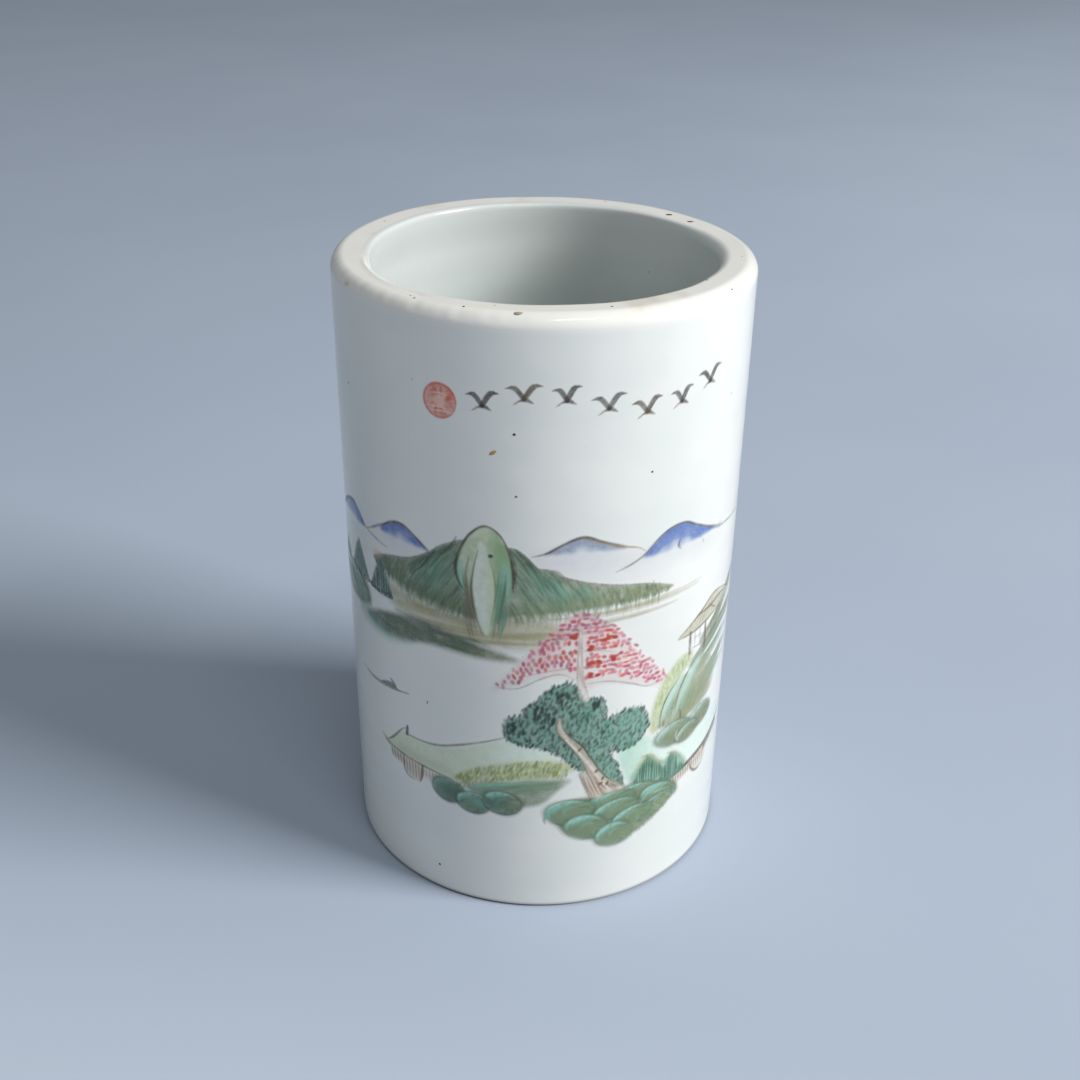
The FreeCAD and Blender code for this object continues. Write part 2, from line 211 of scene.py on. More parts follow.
def smooth(points, closed=False, step=0.4):
    """A Catmull-Rom curve through given points."""
    p = np.asarray(points, float)
    if len(p) < 3:
        n = max(2, int(np.linalg.norm(p[-1] - p[0]) / step) + 1)
        return p[0] + (p[-1] - p[0]) * np.linspace(0, 1, n)[:, None]
    if closed:
        ring = np.vstack([p[-1], p, p[0], p[1]])
    else:
        ring = np.vstack([2 * p[0] - p[1], p, 2 * p[-1] - p[-2]])
    out = []
    for i in range(1, len(ring) - 2):
        a, b, c, d = ring[i - 1 : i + 3]
        n = max(2, int(np.linalg.norm(c - b) / step) + 1)
        t = np.linspace(0, 1, n, endpoint=False)[:, None]
        squared = (2 * a - 5 * b + 4 * c - d) * t**2
        cubed = (3 * b - a - 3 * c + d) * t**3
        out.append(0.5 * (2 * b + (c - a) * t + squared + cubed))
    if not closed:
        out.append(p[-1:])
    return np.vstack(out)


def inside(outline, along, up):
    """Which pixels a closed outline holds, by counting its crossings to the left of each."""
    held = np.zeros(along.shape, bool)
    rows, cols = up[:, 0], along[0]
    for a, b in zip(outline, np.roll(outline, -1, axis=0)):
        low, high = min(a[1], b[1]), max(a[1], b[1])
        hit = np.nonzero((rows >= low) & (rows < high))[0]
        if len(hit) == 0:
            continue
        cross = a[0] + (rows[hit] - a[1]) / (b[1] - a[1]) * (b[0] - a[0])
        held[hit] ^= cols[None, :] > cross[:, None]
    return held


def fill(points, colour, alpha=1.0, soft=0.35, second=None, turn=None, fade=None,
         thick=0.02, matt=0.0, grain=0.25, sharp_corners=False):
    """A wash inside a closed outline. turn(along, up) moves its colour to the second one, fade thins it."""
    outline = canvas.placed(points)
    if not sharp_corners:
        outline = smooth(outline, closed=True)
    window, along, up = canvas.window(outline, 3 * soft + 0.5)
    amount = soften(inside(outline, along, up).astype(np.float32), soft * PIXELS_PER_MM)
    amount = amount * alpha * (1 - grain * canvas.grain[window])
    along, up = along - canvas.move[0], up - canvas.move[1]
    if fade is not None:
        amount = amount * np.clip(fade(along, up), 0, 1)
    paint = np.asarray(colour, float)
    if second is not None:
        share = np.clip(turn(along, up), 0, 1)[..., None]
        paint = paint * (1 - share) + np.asarray(second, float) * share
    canvas.lay(window, amount, paint, thick, matt)


def stroke(points, width, colour, alpha=0.9, taper=(0.3, 0.2), soft=0.14, thick=0.015, matt=0.35, dry=0.3,
           streaks=0.0):
    """A brush stroke. taper is the share of width left at its start and at its end, dry how much the grain
    shows, and streaks how much the brush's hairs part."""
    line = smooth(canvas.placed(points), step=0.7)
    window, along, up = canvas.window(line, width / 2 + 2 * soft)
    count = len(line) - 1
    gap = np.full(along.shape, FAR_AWAY)
    side = np.zeros(along.shape)
    for i in range(count):
        a, run = line[i], line[i + 1] - line[i]
        length = max(run @ run, 1e-9)
        part = np.clip(((along - a[0]) * run[0] + (up - a[1]) * run[1]) / length, 0, 1)
        t = (i + part) / count
        opening = np.minimum(taper[0] + (1 - taper[0]) * np.minimum(t * STROKE_OPENING, 1), 1)
        closing = np.minimum(taper[1] + (1 - taper[1]) * np.minimum((1 - t) * STROKE_CLOSING, 1), 1)
        away = np.hypot(along - a[0] - part * run[0], up - a[1] - part * run[1])
        new_gap = away - 0.5 * width * np.minimum(opening, closing)
        nearer = new_gap < gap
        gap = np.where(nearer, new_gap, gap)
        if streaks:
            across = ((up - a[1]) * run[0] - (along - a[0]) * run[1]) / math.sqrt(length)
            side = np.where(nearer, across, side)
    amount = np.clip(0.5 - gap / (2 * soft), 0, 1) * alpha * (1 - dry * canvas.grain[window])
    if streaks:
        first_hair = rng.integers(0, HAIR_COUNT)
        hair = BRISTLES[(side / HAIR_PITCH + first_hair).astype(int) % HAIR_COUNT]
        amount = amount * (1 - streaks * smoothstep(hair, 0.35, 0.75))
    canvas.lay(window, amount, colour, thick, matt)


def dab(along0, up0, long, wide, tilt, colour, alpha=0.9, soft=0.12, thick=0.03, matt=0.1, dry=0.2):
    """One touch of a loaded brush: an oval, leaning by tilt radians from level."""
    centre = canvas.placed([(along0, up0)])
    window, along, up = canvas.window(centre, long / 2 + 2 * soft)
    x, y = along - centre[0, 0], up - centre[0, 1]
    c, s = math.cos(tilt), math.sin(tilt)
    ratio = np.hypot((x * c + y * s) / (long / 2), (y * c - x * s) / (wide / 2))
    amount = np.clip(0.5 - (ratio - 1) * min(long, wide) / (4 * soft), 0, 1)
    canvas.lay(window, amount * alpha * (1 - dry * canvas.grain[window]), colour, thick, matt)


def between(a, b, t):
    return np.asarray(a, float) * (1 - t) + np.asarray(b, float) * t


def jitter(amount):
    return float(rng.uniform(-amount, amount))


def level(ridge, along):
    """Height of a ridge line, given by its points from left to right, at a place along the wall."""
    ridge = np.asarray(ridge, float)
    return np.interp(along, ridge[:, 0], ridge[:, 1])


# ---------------------------------------------------------------------------------------------------
# Enamel colours, as they look on the white glaze

INK = (50, 46, 40)
OLIVE_INK = (92, 86, 66)
GOLD_INK = (146, 116, 68)
BLUE = (84, 112, 176)
PALE_BLUE = (150, 164, 192)
GREY_BLUE = (138, 148, 166)
LILAC_WASH = (200, 200, 208)
DARK_GREEN = (80, 98, 72)
DEEP_GREEN = (48, 62, 46)
MID_GREEN = (108, 128, 98)
OLIVE_GREEN = (126, 138, 106)
TEAL = (108, 162, 144)
DEEP_TEAL = (62, 100, 88)
TURQUOISE = (132, 186, 172)
PALE_GREEN = (192, 204, 174)
DOME_GREEN = (142, 172, 126)
PALE_STONE = (212, 220, 208)
OLIVE_WASH = (162, 160, 118)
BANK_GREEN = (204, 214, 188)
YELLOW_GREEN = (176, 188, 142)
HEDGE_INK = (124, 134, 80)
MINT = (174, 212, 192)
PALE_MINT = (212, 230, 220)
PINK = (200, 104, 124)
ROSE = (172, 66, 92)
MAUVE = (156, 92, 112)
RED = (184, 54, 42)
CORAL = (214, 98, 88)
PALE_ROSE = (216, 202, 198)
BARK = (206, 196, 184)
BARK_INK = (112, 88, 66)
TIMBER = (204, 190, 176)
TIMBER_INK = (106, 90, 70)
IRON_RED = (204, 78, 44)

# ---------------------------------------------------------------------------------------------------
# The painting, group by group, from the far distance to the foreground


def inside_points(outline, pitch, row_pitch, shake):
    """Places in rows over an outline, each moved a little."""
    ring = smooth(outline, closed=True)
    low, high = ring.min(0), ring.max(0)
    rows = np.arange(low[1], high[1], row_pitch)
    cols = np.arange(low[0], high[0], pitch)
    along, up = np.meshgrid(cols, rows)
    held = inside(ring, along, up)
    places = []
    for r, c in zip(*np.nonzero(held)):
        offset = 0.5 * pitch * (r % 2)
        places.append((along[r, c] + offset + jitter(shake), up[r, c] + jitter(shake)))
    return places


def hill(ridge, base, colour, alpha, ink_width, reach=4.0):
    """A distant hill: colour under the ridge that thins downwards, and an ink line along the top."""
    outline = list(ridge) + [(ridge[-1][0] - 1, base), (ridge[0][0] + 1, base)]
    curve = smooth(ridge)
    fill(
        outline, colour, alpha, soft=0.3, second=PALE_BLUE,
        turn=lambda a, u: (level(curve, a) - u) / reach - 0.2,
        fade=lambda a, u: 1.7 - (1.4 + 0.2 * np.sin(a * 1.9)) * (level(curve, a) - u) / reach,
    )
    low = [(x, y - 0.45) for x, y in ridge]
    stroke(low, 0.9, colour, 0.6, taper=(0.2, 0.2), soft=0.3, streaks=0.4)
    stroke(ridge, 1.2 * ink_width, INK, 0.85, taper=(0.3, 0.2), dry=0.4)


def paint_far_hills():
    canvas.begin("far_hills", (-6.0, 83.5))
    fill([(-2, 83), (8, 86), (20, 82.6), (30, 79.6), (12, 79), (0, 80.5)], LILAC_WASH, 0.45, soft=1.6)
    fill([(-38, 80.4), (-28, 83.4), (-21, 80), (-28, 78.4)], LILAC_WASH, 0.5, soft=1.3)
    fill([(24, 80.8), (32, 81.6), (44, 79.6), (34, 77.6)], LILAC_WASH, 0.45, soft=1.4)
    hill([(-54.5, 79.6), (-51, 82), (-46.5, 83.4), (-43.4, 82.4), (-41, 80.6)], 79.8, BLUE, 1.0, 0.4, 4.0)
    stroke([(-76, 70.6), (-70, 71.8), (-63, 74.4), (-58, 77.4), (-53.4, 80.2)], 0.42, INK, 0.75, dry=0.5)
    stroke([(-42.4, 81.2), (-39.6, 80), (-36.6, 79.3), (-32.6, 78.7)], 0.4, INK, 0.75, dry=0.5)
    hill([(-34.6, 82.6), (-31.6, 84.7), (-28.4, 85.4), (-25.4, 84.1), (-22, 81.8)], 81.8, BLUE, 1.0, 0.5, 3.6)
    stroke([(-40, 80), (-37.4, 81.4), (-34.4, 83.1), (-31.6, 84.5)], 0.5, INK, 0.8, dry=0.4)
    stroke([(-26, 84.4), (-23.8, 83), (-21.8, 81.4)], 0.4, INK, 0.7, dry=0.4)
    hill([(1, 84.6), (4.6, 86.6), (8, 87.7), (11.6, 86.4), (16, 84.8)], 84.4, GREY_BLUE, 1.0, 0.45, 3.0)
    stroke([(-1.6, 83.8), (1.4, 84.7), (4.4, 86.4)], 0.42, INK, 0.7, dry=0.5)
    stroke([(7.6, 87.6), (11, 86.5), (15, 84.9), (18.6, 84), (20.4, 82.8)], 0.46, GOLD_INK, 0.85, dry=0.3)
    hill([(20.6, 82.4), (23.4, 84.9), (26.4, 86.2), (29.8, 86.2), (33, 84.6), (37.6, 82.5), (42, 81)],
         81.4, BLUE, 1.0, 0.36, 5.0)
    for shift in (0.6, 1.3, 2.0):
        stroke([(22, 83.6 - shift), (26, 85.4 - shift), (30, 85.2 - shift), (35, 83.2 - shift)], 0.7,
               BLUE, 0.55, taper=(0.2, 0.2), soft=0.3, streaks=0.6)
    stroke([(14.4, 79.6), (18, 80.9), (20.6, 82.4), (23.4, 84.8)], 0.42, OLIVE_INK, 0.75, dry=0.5)
    stroke([(36, 82.9), (41, 81), (47, 80.2), (54, 79.6), (61, 78), (69, 77.2)], 0.42, OLIVE_INK, 0.75,
           dry=0.4)
    stroke([(28.6, 83), (28.2, 81.8), (28.9, 80.8)], 0.5, between(BLUE, INK, 0.5), 0.75)
    stroke([(35.4, 80.6), (35.9, 79.7)], 0.3, OLIVE_INK, 0.5)
    hill([(58, 78.2), (62, 80), (66, 80.6), (70, 79.4), (74, 77.4)], 77.4, GREY_BLUE, 0.8, 0.3, 4.0)
    hill([(-80, 73), (-76, 75.4), (-72, 76.6), (-68, 75), (-64, 74)], 72.8, GREY_BLUE, 0.8, 0.3, 4.0)


# The main mountain's left and right ridges, and the line of its foot
LEFT_RIDGE = [(-37.4, 75.4), (-33, 77.2), (-27, 78.8), (-22.4, 81.2), (-19.4, 83.6), (-16.4, 85.2),
              (-14.4, 86)]
RIGHT_RIDGE = [(-5.6, 85.6), (-4, 85.2), (-2.4, 83.8), (-0.4, 81.6), (2, 81.1), (4.6, 79.6), (10, 77.9),
               (16, 76.7), (22, 75.6), (27.6, 73.4)]
MOUNTAIN_FOOT = [(-38, 74.2), (-32, 72.6), (-26, 71.6), (-20, 70.8), (-14, 70.2), (-8, 70.4), (-2, 71.2),
                 (6, 72.2), (16, 72.6), (27.6, 72.8)]


def mountain_shade(along, depth):
    """The mountain's colour at a depth down its flank, from 0 to 1: dark under the ridge, teal beside the
    dome and olive to the right."""
    away = along + 10
    teal = math.exp(-(((abs(away) - 9.5) / 5.5) ** 2) - ((depth - 0.45) / 0.3) ** 2)
    second_teal = math.exp(-(((along - 7) / 5) ** 2) - ((depth - 0.3) / 0.3) ** 2)
    top = max(0.0, 1 - depth * 3.4) * (1.0 if along < 2 else 0.5)
    low = between(MID_GREEN, OLIVE_GREEN, np.clip((along + 4) / 22, 0, 1))
    low = between(low, DARK_GREEN, 0.35 if along < -12 else 0.05)
    colour = between(low, TEAL, min(1.0, 0.95 * teal + 0.6 * second_teal))
    return between(colour, DEEP_GREEN, 0.7 * top)


def mountain_hairs(ridge, first, last, count):
    """Fine strokes that comb down a flank, away from the dome."""
    curve = smooth(ridge)
    for _ in range(count):
        at = first + (last - first) * rng.random()
        away = abs(at + 10)
        lean = math.copysign(0.55 * math.exp(-((away - 9) / 12) ** 2) + 0.2, at + 10)
        top, foot = level(curve, at), level(MOUNTAIN_FOOT, at)
        begin, reach = rng.random() ** 1.2 * 0.85, rng.uniform(0.25, 0.5)
        finish = min(begin + reach, 1.08)
        tall = top - foot
        start = (at, top - 0.15 - begin * tall)
        end = (at + lean * tall * (finish - begin) * (1 - 0.4 * begin), top - finish * tall)
        bend = (start[0] + 0.62 * (end[0] - start[0]), (start[1] + end[1]) / 2)
        colour = mountain_shade(at, (begin + finish) / 2)
        light = rng.random()
        if light > 0.6:
            colour = between(colour, (200, 206, 180), 0.3 * light)
        else:
            colour = between(colour, DEEP_GREEN, 1.1 * light)
        stroke([start, bend, end], rng.uniform(0.25, 0.6), colour, rng.uniform(0.35, 0.75),
               taper=(0.4, 0.1), soft=0.13)


def paint_main_mountain():
    canvas.begin("main_mountain", (-5.0, 78.5))
    fill([(-33, 71), (-20, 72.4), (-6, 72.4), (2, 70.6), (5, 66.4), (-3, 64.2), (-14, 64.6), (-24, 66),
          (-32, 67)], OLIVE_WASH, 0.9, soft=0.9,
         fade=lambda a, u: 0.92 + 0.08 * np.sin(u * 2.3 + a * 0.25),
         second=between(OLIVE_WASH, BARK_INK, 0.2),
         turn=lambda a, u: 0.5 + 0.5 * np.sin(u * 1.9 + a * 0.2))
    wisps = ((-31, 1, 66.4, 1.5), (-22, 3, 65.1, 1.0), (-6, 12, 67.4, 1.2), (2, 35, 71.2, 1.0),
             (6, 29, 69.6, 1.0), (10, 36, 71.9, 0.6), (-30, -14, 68.6, 1.6))
    for start, end, lift, width in wisps:
        middle = (start + end) / 2
        stroke([(start, lift - 0.5), (middle, lift), (end, lift + 0.2)], width,
               between(OLIVE_WASH, BARK_INK, 0.15), 0.9, soft=0.3, dry=0.3, streaks=0.5, taper=(0.4, 0.1))
    outline = LEFT_RIDGE + [(-10, 86), (-10, 70.8), (-20, 71.2), (-28, 72.4), (-37, 74.4)]
    fill(outline, MID_GREEN, 0.95, soft=0.25, second=DARK_GREEN,
         turn=lambda a, u: 0.65 + 0.3 * np.sin(a * 0.5))
    outline = [(-10, 86)] + RIGHT_RIDGE + [(20, 73), (8, 72.6), (-3, 71.6), (-10, 71)]
    fill(outline, MID_GREEN, 0.95, soft=0.25, second=between(OLIVE_GREEN, OLIVE_WASH, 0.5),
         turn=lambda a, u: (a + 2) / 28)
    mountain_hairs(LEFT_RIDGE, -37, -13.5, 420)
    mountain_hairs(RIGHT_RIDGE, -6, 26.5, 460)
    for _ in range(300):
        at = -36 + 60 * rng.random()
        foot = level(MOUNTAIN_FOOT, at)
        if at > -6:
            tone = between(MID_GREEN, OLIVE_WASH, rng.uniform(0.0, 0.5))
        else:
            tone = between(MID_GREEN, DARK_GREEN, rng.random())
        stroke([(at, foot + 2.6 + jitter(0.9)), (at + jitter(0.2), foot + 0.6),
                (at + jitter(0.5), foot - 1.5 + jitter(1.1))], 0.3, tone, rng.uniform(0.25, 0.7),
               taper=(0.3, 0.03), soft=0.16)
    stroke(LEFT_RIDGE, 0.4, OLIVE_INK, 0.75, dry=0.5)
    stroke(RIGHT_RIDGE, 0.4, OLIVE_INK, 0.75, dry=0.5)
    stroke([(-15.8, 86.4), (-16.4, 85), (-17.4, 83.6), (-19.4, 81.6)], 0.8, DEEP_GREEN, 0.7, streaks=0.4)
    stroke([(-20.4, 82.4), (-22.2, 80), (-23.8, 78), (-25.6, 76.2)], 0.55, DEEP_GREEN, 0.85, taper=(0.4, 0.1))
    stroke([(-4.6, 85.4), (-2.4, 83), (-0.6, 80.8)], 0.9, DEEP_GREEN, 0.6, streaks=0.4)
    stroke([(-5.6, 84.6), (-4.8, 81.6), (-4.4, 77.4)], 1.0, DEEP_GREEN, 0.7, taper=(0.7, 0.1), streaks=0.3)
    stroke([(2, 81.2), (3, 80.9), (4.4, 80)], 0.6, BARK_INK, 0.6)
    fill([(-38, 76), (-36, 77), (-34.2, 76.4), (-36.4, 75.2)], (206, 168, 144), 0.6, soft=0.4)


def paint_dome():
    canvas.begin("mountain_dome", (-10.0, 78.0))
    outline = [(-15.6, 80), (-14.4, 85), (-12.4, 88.2), (-10.2, 89.4), (-8, 88.4), (-6, 85), (-5, 80),
               (-6.2, 75), (-8, 70), (-9.9, 66.2), (-12.2, 70), (-14.4, 75)]
    fill(outline, PALE_GREEN, 1.0, soft=0.2, second=DOME_GREEN, turn=lambda a, u: smoothstep(a, -10.6, -7.0))
    fill([(-15.6, 82), (-14, 79.4), (-13.8, 76), (-14.6, 74.6), (-15.8, 78)], TURQUOISE, 0.75, soft=0.5)
    fill([(-7, 82.6), (-5.4, 81), (-5.4, 77), (-6.6, 73), (-7.4, 76), (-7.2, 80)], TURQUOISE, 0.8, soft=0.5)
    for i in range(64):
        side = -1 if i % 2 else 1
        top = rng.uniform(72, 81)
        at = -10.3 + side * rng.uniform(2.5, 4.4)
        colour = between(DARK_GREEN, (128, 112, 88) if side < 0 else TEAL, rng.random())
        stroke(
            [(at, top), (at - side * 0.4, top - 4), (at - side * 1.1, top - rng.uniform(6, 8.5))], 0.4,
            colour, 0.5, taper=(0.1, 0.1), soft=0.14,
        )
    stroke([(-13.3, 82.6), (-14, 79), (-13.9, 76), (-13, 72)], 0.6, (124, 106, 82), 0.65, soft=0.2,
           streaks=0.3)
    almond = [(-10.9, 86.4), (-9.1, 82), (-8.3, 77), (-8.8, 71.4), (-10, 66.4), (-11.6, 70), (-12.7, 76),
              (-12.2, 82)]
    fill(almond, PALE_STONE, 0.97, soft=0.22, second=PALE_GREEN,
         turn=lambda a, u: smoothstep(a, -10.6, -8.8) * 0.8)
    stroke([(-11.5, 84.4), (-12.5, 80), (-12.9, 75), (-12, 70), (-10.8, 66.4)], 0.36, OLIVE_INK, 0.8, dry=0.4)
    stroke([(-9.5, 83.4), (-8.4, 79), (-8.3, 74), (-9.2, 68.6)], 0.26, OLIVE_INK, 0.6, dry=0.5)
    stroke([(-16, 80), (-15.2, 83.6), (-13.2, 87.3), (-10.2, 89.5), (-7.4, 88), (-5.7, 84.6), (-4.9, 80),
            (-5, 77)], 0.46, OLIVE_INK, 0.9, taper=(0.6, 0.4), dry=0.3)
    stroke([(-15.6, 82.6), (-16.1, 80.4), (-15.8, 78), (-14.6, 75.6)], 0.62, INK, 0.9, taper=(0.3, 0.2))
    stroke([(-14.9, 84.4), (-13.4, 87), (-11.6, 88.9)], 0.5, INK, 0.5)
    stroke([(-5.3, 83), (-4.8, 80), (-4.9, 76.4)], 0.7, INK, 0.75, taper=(0.2, 0.2))
    dab(-9.1, 83.5, 0.85, 0.7, 0, INK, 0.95)


def striped_tree(left, right, top, foot, lean, colour, dark, count):
    """A conical tree or a clump of reeds: a pale body under upright dark strokes."""
    middle = left + (right - left) * lean
    outline = [(left, foot), (between(left, middle, 0.5), between(foot, top, 0.62)), (middle, top),
               (between(middle, right, 0.5), between(top, foot, 0.42)), (right, foot),
               ((left + right) / 2, foot - 0.5)]
    fill(outline, colour, 0.9, soft=0.25, sharp_corners=True)
    for i in range(count):
        at = left + (right - left) * (i + 0.5) / count + jitter(0.12)
        share = (at - left) / (middle - left) if at < middle else (right - at) / (right - middle)
        high = foot + (top - foot) * np.clip(share, 0, 1) ** 0.8
        stroke([(at, high - abs(jitter(0.5))), (at + jitter(0.15), foot + jitter(0.3))], 0.4, dark, 0.9,
               taper=(0.3, 0.5), soft=0.12)


def paint_cypresses():
    canvas.begin("cypress_pair", (-40.2, 71.7))
    body = between(DEEP_TEAL, TEAL, 0.45)
    striped_tree(-48.8, -40, 76.4, 68.4, 0.52, body, (42, 66, 58), 14)
    striped_tree(-39.6, -31.6, 75.6, 67.7, 0.55, body, (34, 56, 48), 14)
    striped_tree(-56, -50, 73.4, 68, 0.5, between(TEAL, MID_GREEN, 0.5), DARK_GREEN, 10)
    for at in np.linspace(-48, -32.6, 34):
        dab(at + jitter(0.4), 68.1 + jitter(0.4), 0.9, 0.5, 0.3, DEEP_GREEN, 0.8)


def paint_shore():
    canvas.begin("shore_strokes", (-28.3, 63.7))
    fill([(-60, 64), (-53, 67.6), (-46, 69), (-40.6, 66.8), (-39.8, 63.4), (-44, 61.2), (-54, 61)],
         between(MID_GREEN, TEAL, 0.35), 0.95, soft=0.5, second=DARK_GREEN,
         turn=lambda a, u: smoothstep(u, 65.5, 62))
    for i in range(40):
        at = rng.uniform(-58, -43)
        colour = (DARK_GREEN, DARK_GREEN, TEAL)[i % 3]
        stroke([(at, 67.4 + jitter(1)), (at + 2, 65), (at + 4, 62.4)], 0.6, colour, 0.35, soft=0.25,
               streaks=0.3)
    stroke([(-52, 68.8), (-46, 68.6), (-41.4, 66), (-40, 62.6)], 0.7, DEEP_GREEN, 0.8, dry=0.3)
    fill([(-42, 60.4), (-38, 62.6), (-32, 64.6), (-24, 65.9), (-16, 65), (-9, 63.2), (-3.6, 61.2),
          (-12, 60.9), (-22, 61.2), (-29, 59.6), (-36, 58.9)], between(DARK_GREEN, DEEP_GREEN, 0.3), 0.97,
         soft=0.5, second=(116, 120, 86), turn=lambda a, u: smoothstep(a, -24, -7))
    for i in range(60):
        at = rng.uniform(-39, -16)
        high = 62.2 + (at + 39) * 0.05 + jitter(1.5)
        colour = DARK_GREEN if i % 3 else (104, 124, 94)
        stroke([(at, high), (at + 3, high + 0.25), (at + rng.uniform(5, 9), high - 0.5)], 0.5, colour,
               0.45, soft=0.25)
    stroke([(-34, 64), (-26, 65.4), (-18, 64.6), (-9, 62.6)], 0.9, DEEP_GREEN, 0.5, soft=0.4, streaks=0.3)
    fill([(-46, 60.6), (-40, 61.8), (-33, 59.8), (-26, 60.6), (-33, 57.8), (-42, 58)], TEAL, 0.6, soft=0.8)


# The blossoming tree: its crown's upper and lower edges, the bare lines between its boughs, and where
# the deepest red dabs crowd, as (along, up, spread, count)
CANOPY_TOP = [(-8.8, 55), (-5.6, 58.6), (-2.4, 62.4), (1.2, 66.8), (4.4, 70), (7.9, 71.9), (11.4, 70.2),
              (15.8, 66.6), (19.2, 61.8), (22.4, 58.4), (27, 53.2)]
CANOPY_LOW = [(-8.8, 54.6), (-4.4, 56.6), (-0.4, 58.8), (3.6, 59.6), (7, 58.8), (9.2, 56.6), (13, 57),
              (16.6, 56), (20.4, 54.4), (23.8, 52.6), (27, 51.6)]
CANOPY_GAPS = [((-2.4, 61.7), (6.8, 64.6)), ((9, 62.9), (17.6, 61.9)), ((9, 58.7), (13.6, 58.7)),
               ((9.4, 66.9), (13, 66.7))]

RED_CLUSTERS = ((10.6, 57.6, 0.9, 7), (11, 60.4, 1.6, 8), (14.8, 60.8, 0.6, 5), (13.4, 65.4, 1.3, 7),
                (10, 63.8, 0.7, 5), (6.6, 66.8, 0.8, 6))


def blossom_colour(along, up):
    pick = rng.random()
    if up > 68:
        return MAUVE if pick < 0.6 else ROSE
    if along < 7.6:
        return (ROSE, ROSE, PINK, MAUVE, RED)[int(pick * 5)]
    if along > 18.6:
        return (ROSE, PINK, PINK)[int(pick * 3)]
    return (RED, CORAL, ROSE, PINK)[int(pick * 4)]


def in_canopy_gap(along, up):
    """Whether a place lies in one of the bare lines between the boughs, or on the trunk."""
    for (left, left_up), (right, right_up) in CANOPY_GAPS:
        if left <= along <= right and abs(up - np.interp(along, (left, right), (left_up, right_up))) < 0.36:
            return True
    return abs(along - 8) < 0.85 and up < 67.5


def paint_blossom():
    canvas.begin("blossom_canopy", (8.7, 61.7))
    eaves = [(x, y - 1.4 * math.exp(-(((x - 8) / 12) ** 2)) - 0.5) for x, y in CANOPY_LOW]
    outline = CANOPY_TOP + eaves[::-1]
    fill(outline, PALE_ROSE, 0.75, soft=0.35, second=(206, 166, 170),
         turn=lambda a, u: np.maximum(smoothstep(u, 62, 71),
                                      0.6 * smoothstep(a, 6, 2) * smoothstep(u, 58.6, 60)))
    grey = (150, 134, 124)
    for drop, sag in ((5.5, 0.5), (9.4, 1.0), (13.0, 1.6)):
        half = 1.2 + 15.5 * (drop / 16) ** 1.25
        points = []
        for t in np.linspace(-0.85, 0.85, 7):
            points.append((8 + t * half, 71.6 - drop - sag * t * t + 1.1 * (1 - t * t)))
        stroke(points, 0.3, grey, 0.5, dry=0.5)
    stroke([(-8, 54.8), (-4, 55), (0.4, 57.4), (4, 58.4), (7, 57)], 0.34, grey, 0.75, dry=0.4)
    stroke([(9.4, 55.8), (14, 55.6), (19, 53.8), (22.4, 52.2), (26, 52.2)], 0.34, grey, 0.75, dry=0.4)
    ring = np.array(CANOPY_TOP + CANOPY_LOW[::-1])
    for along, up in inside_points(ring, 1.16, 0.98, 0.26):
        if in_canopy_gap(along, up):
            continue
        upright = along < 7.6 and up < 66 or rng.random() < 0.2
        tilt = (math.pi / 2 if upright else 0) + jitter(0.45) - 0.02 * (along - 8)
        dab(along, up, rng.uniform(0.9, 1.5), rng.uniform(0.6, 0.85), tilt, blossom_colour(along, up),
            rng.uniform(0.55, 1.0), soft=0.12)
    deep_red = between(RED, (140, 60, 40), 0.3)
    for along0, up0, spread, count in RED_CLUSTERS:
        for _ in range(count):
            dab(along0 + jitter(spread), up0 + jitter(0.45), 1.0, 0.7, jitter(0.5), deep_red, 0.9)


# The pine's foliage, and its shadows as (along, up, reach, count)
PINE_OUTLINE = [(5.4, 56.2), (3, 55.5), (1, 54.1), (-0.5, 52.1), (-2.5, 50.7), (-3.2, 48.7), (-5.6, 48),
                (-6.9, 45.6), (-6.2, 43), (-3.6, 41.8), (-0.6, 41.3), (2.4, 40.3), (5, 38.6), (7.2, 36.4),
                (9.6, 34.4), (11.6, 34.6), (13, 32.4), (15.6, 29.8), (18, 29.9), (17.2, 33), (15.7, 36.4),
                (14.9, 38.7), (18.4, 38.3), (21.5, 39.7), (23.3, 42.5), (22.8, 45.7), (21, 47.6),
                (18, 48.1), (15.2, 47.2), (13.7, 46.9), (13.5, 49.5), (12.8, 51.6), (11, 52.3), (9.4, 52),
                (8.4, 53.6), (7.3, 55.4)]
PINE_SHADOWS = ((1, 49.2, 2.6, 26), (4.4, 53, 1.6, 12), (-4.4, 45.4, 1.6, 12), (12, 50.4, 1, 8))
PINE_BODY = (78, 128, 112)
PINE_LIGHT = (122, 172, 156)
PINE_DARK = (30, 48, 40)


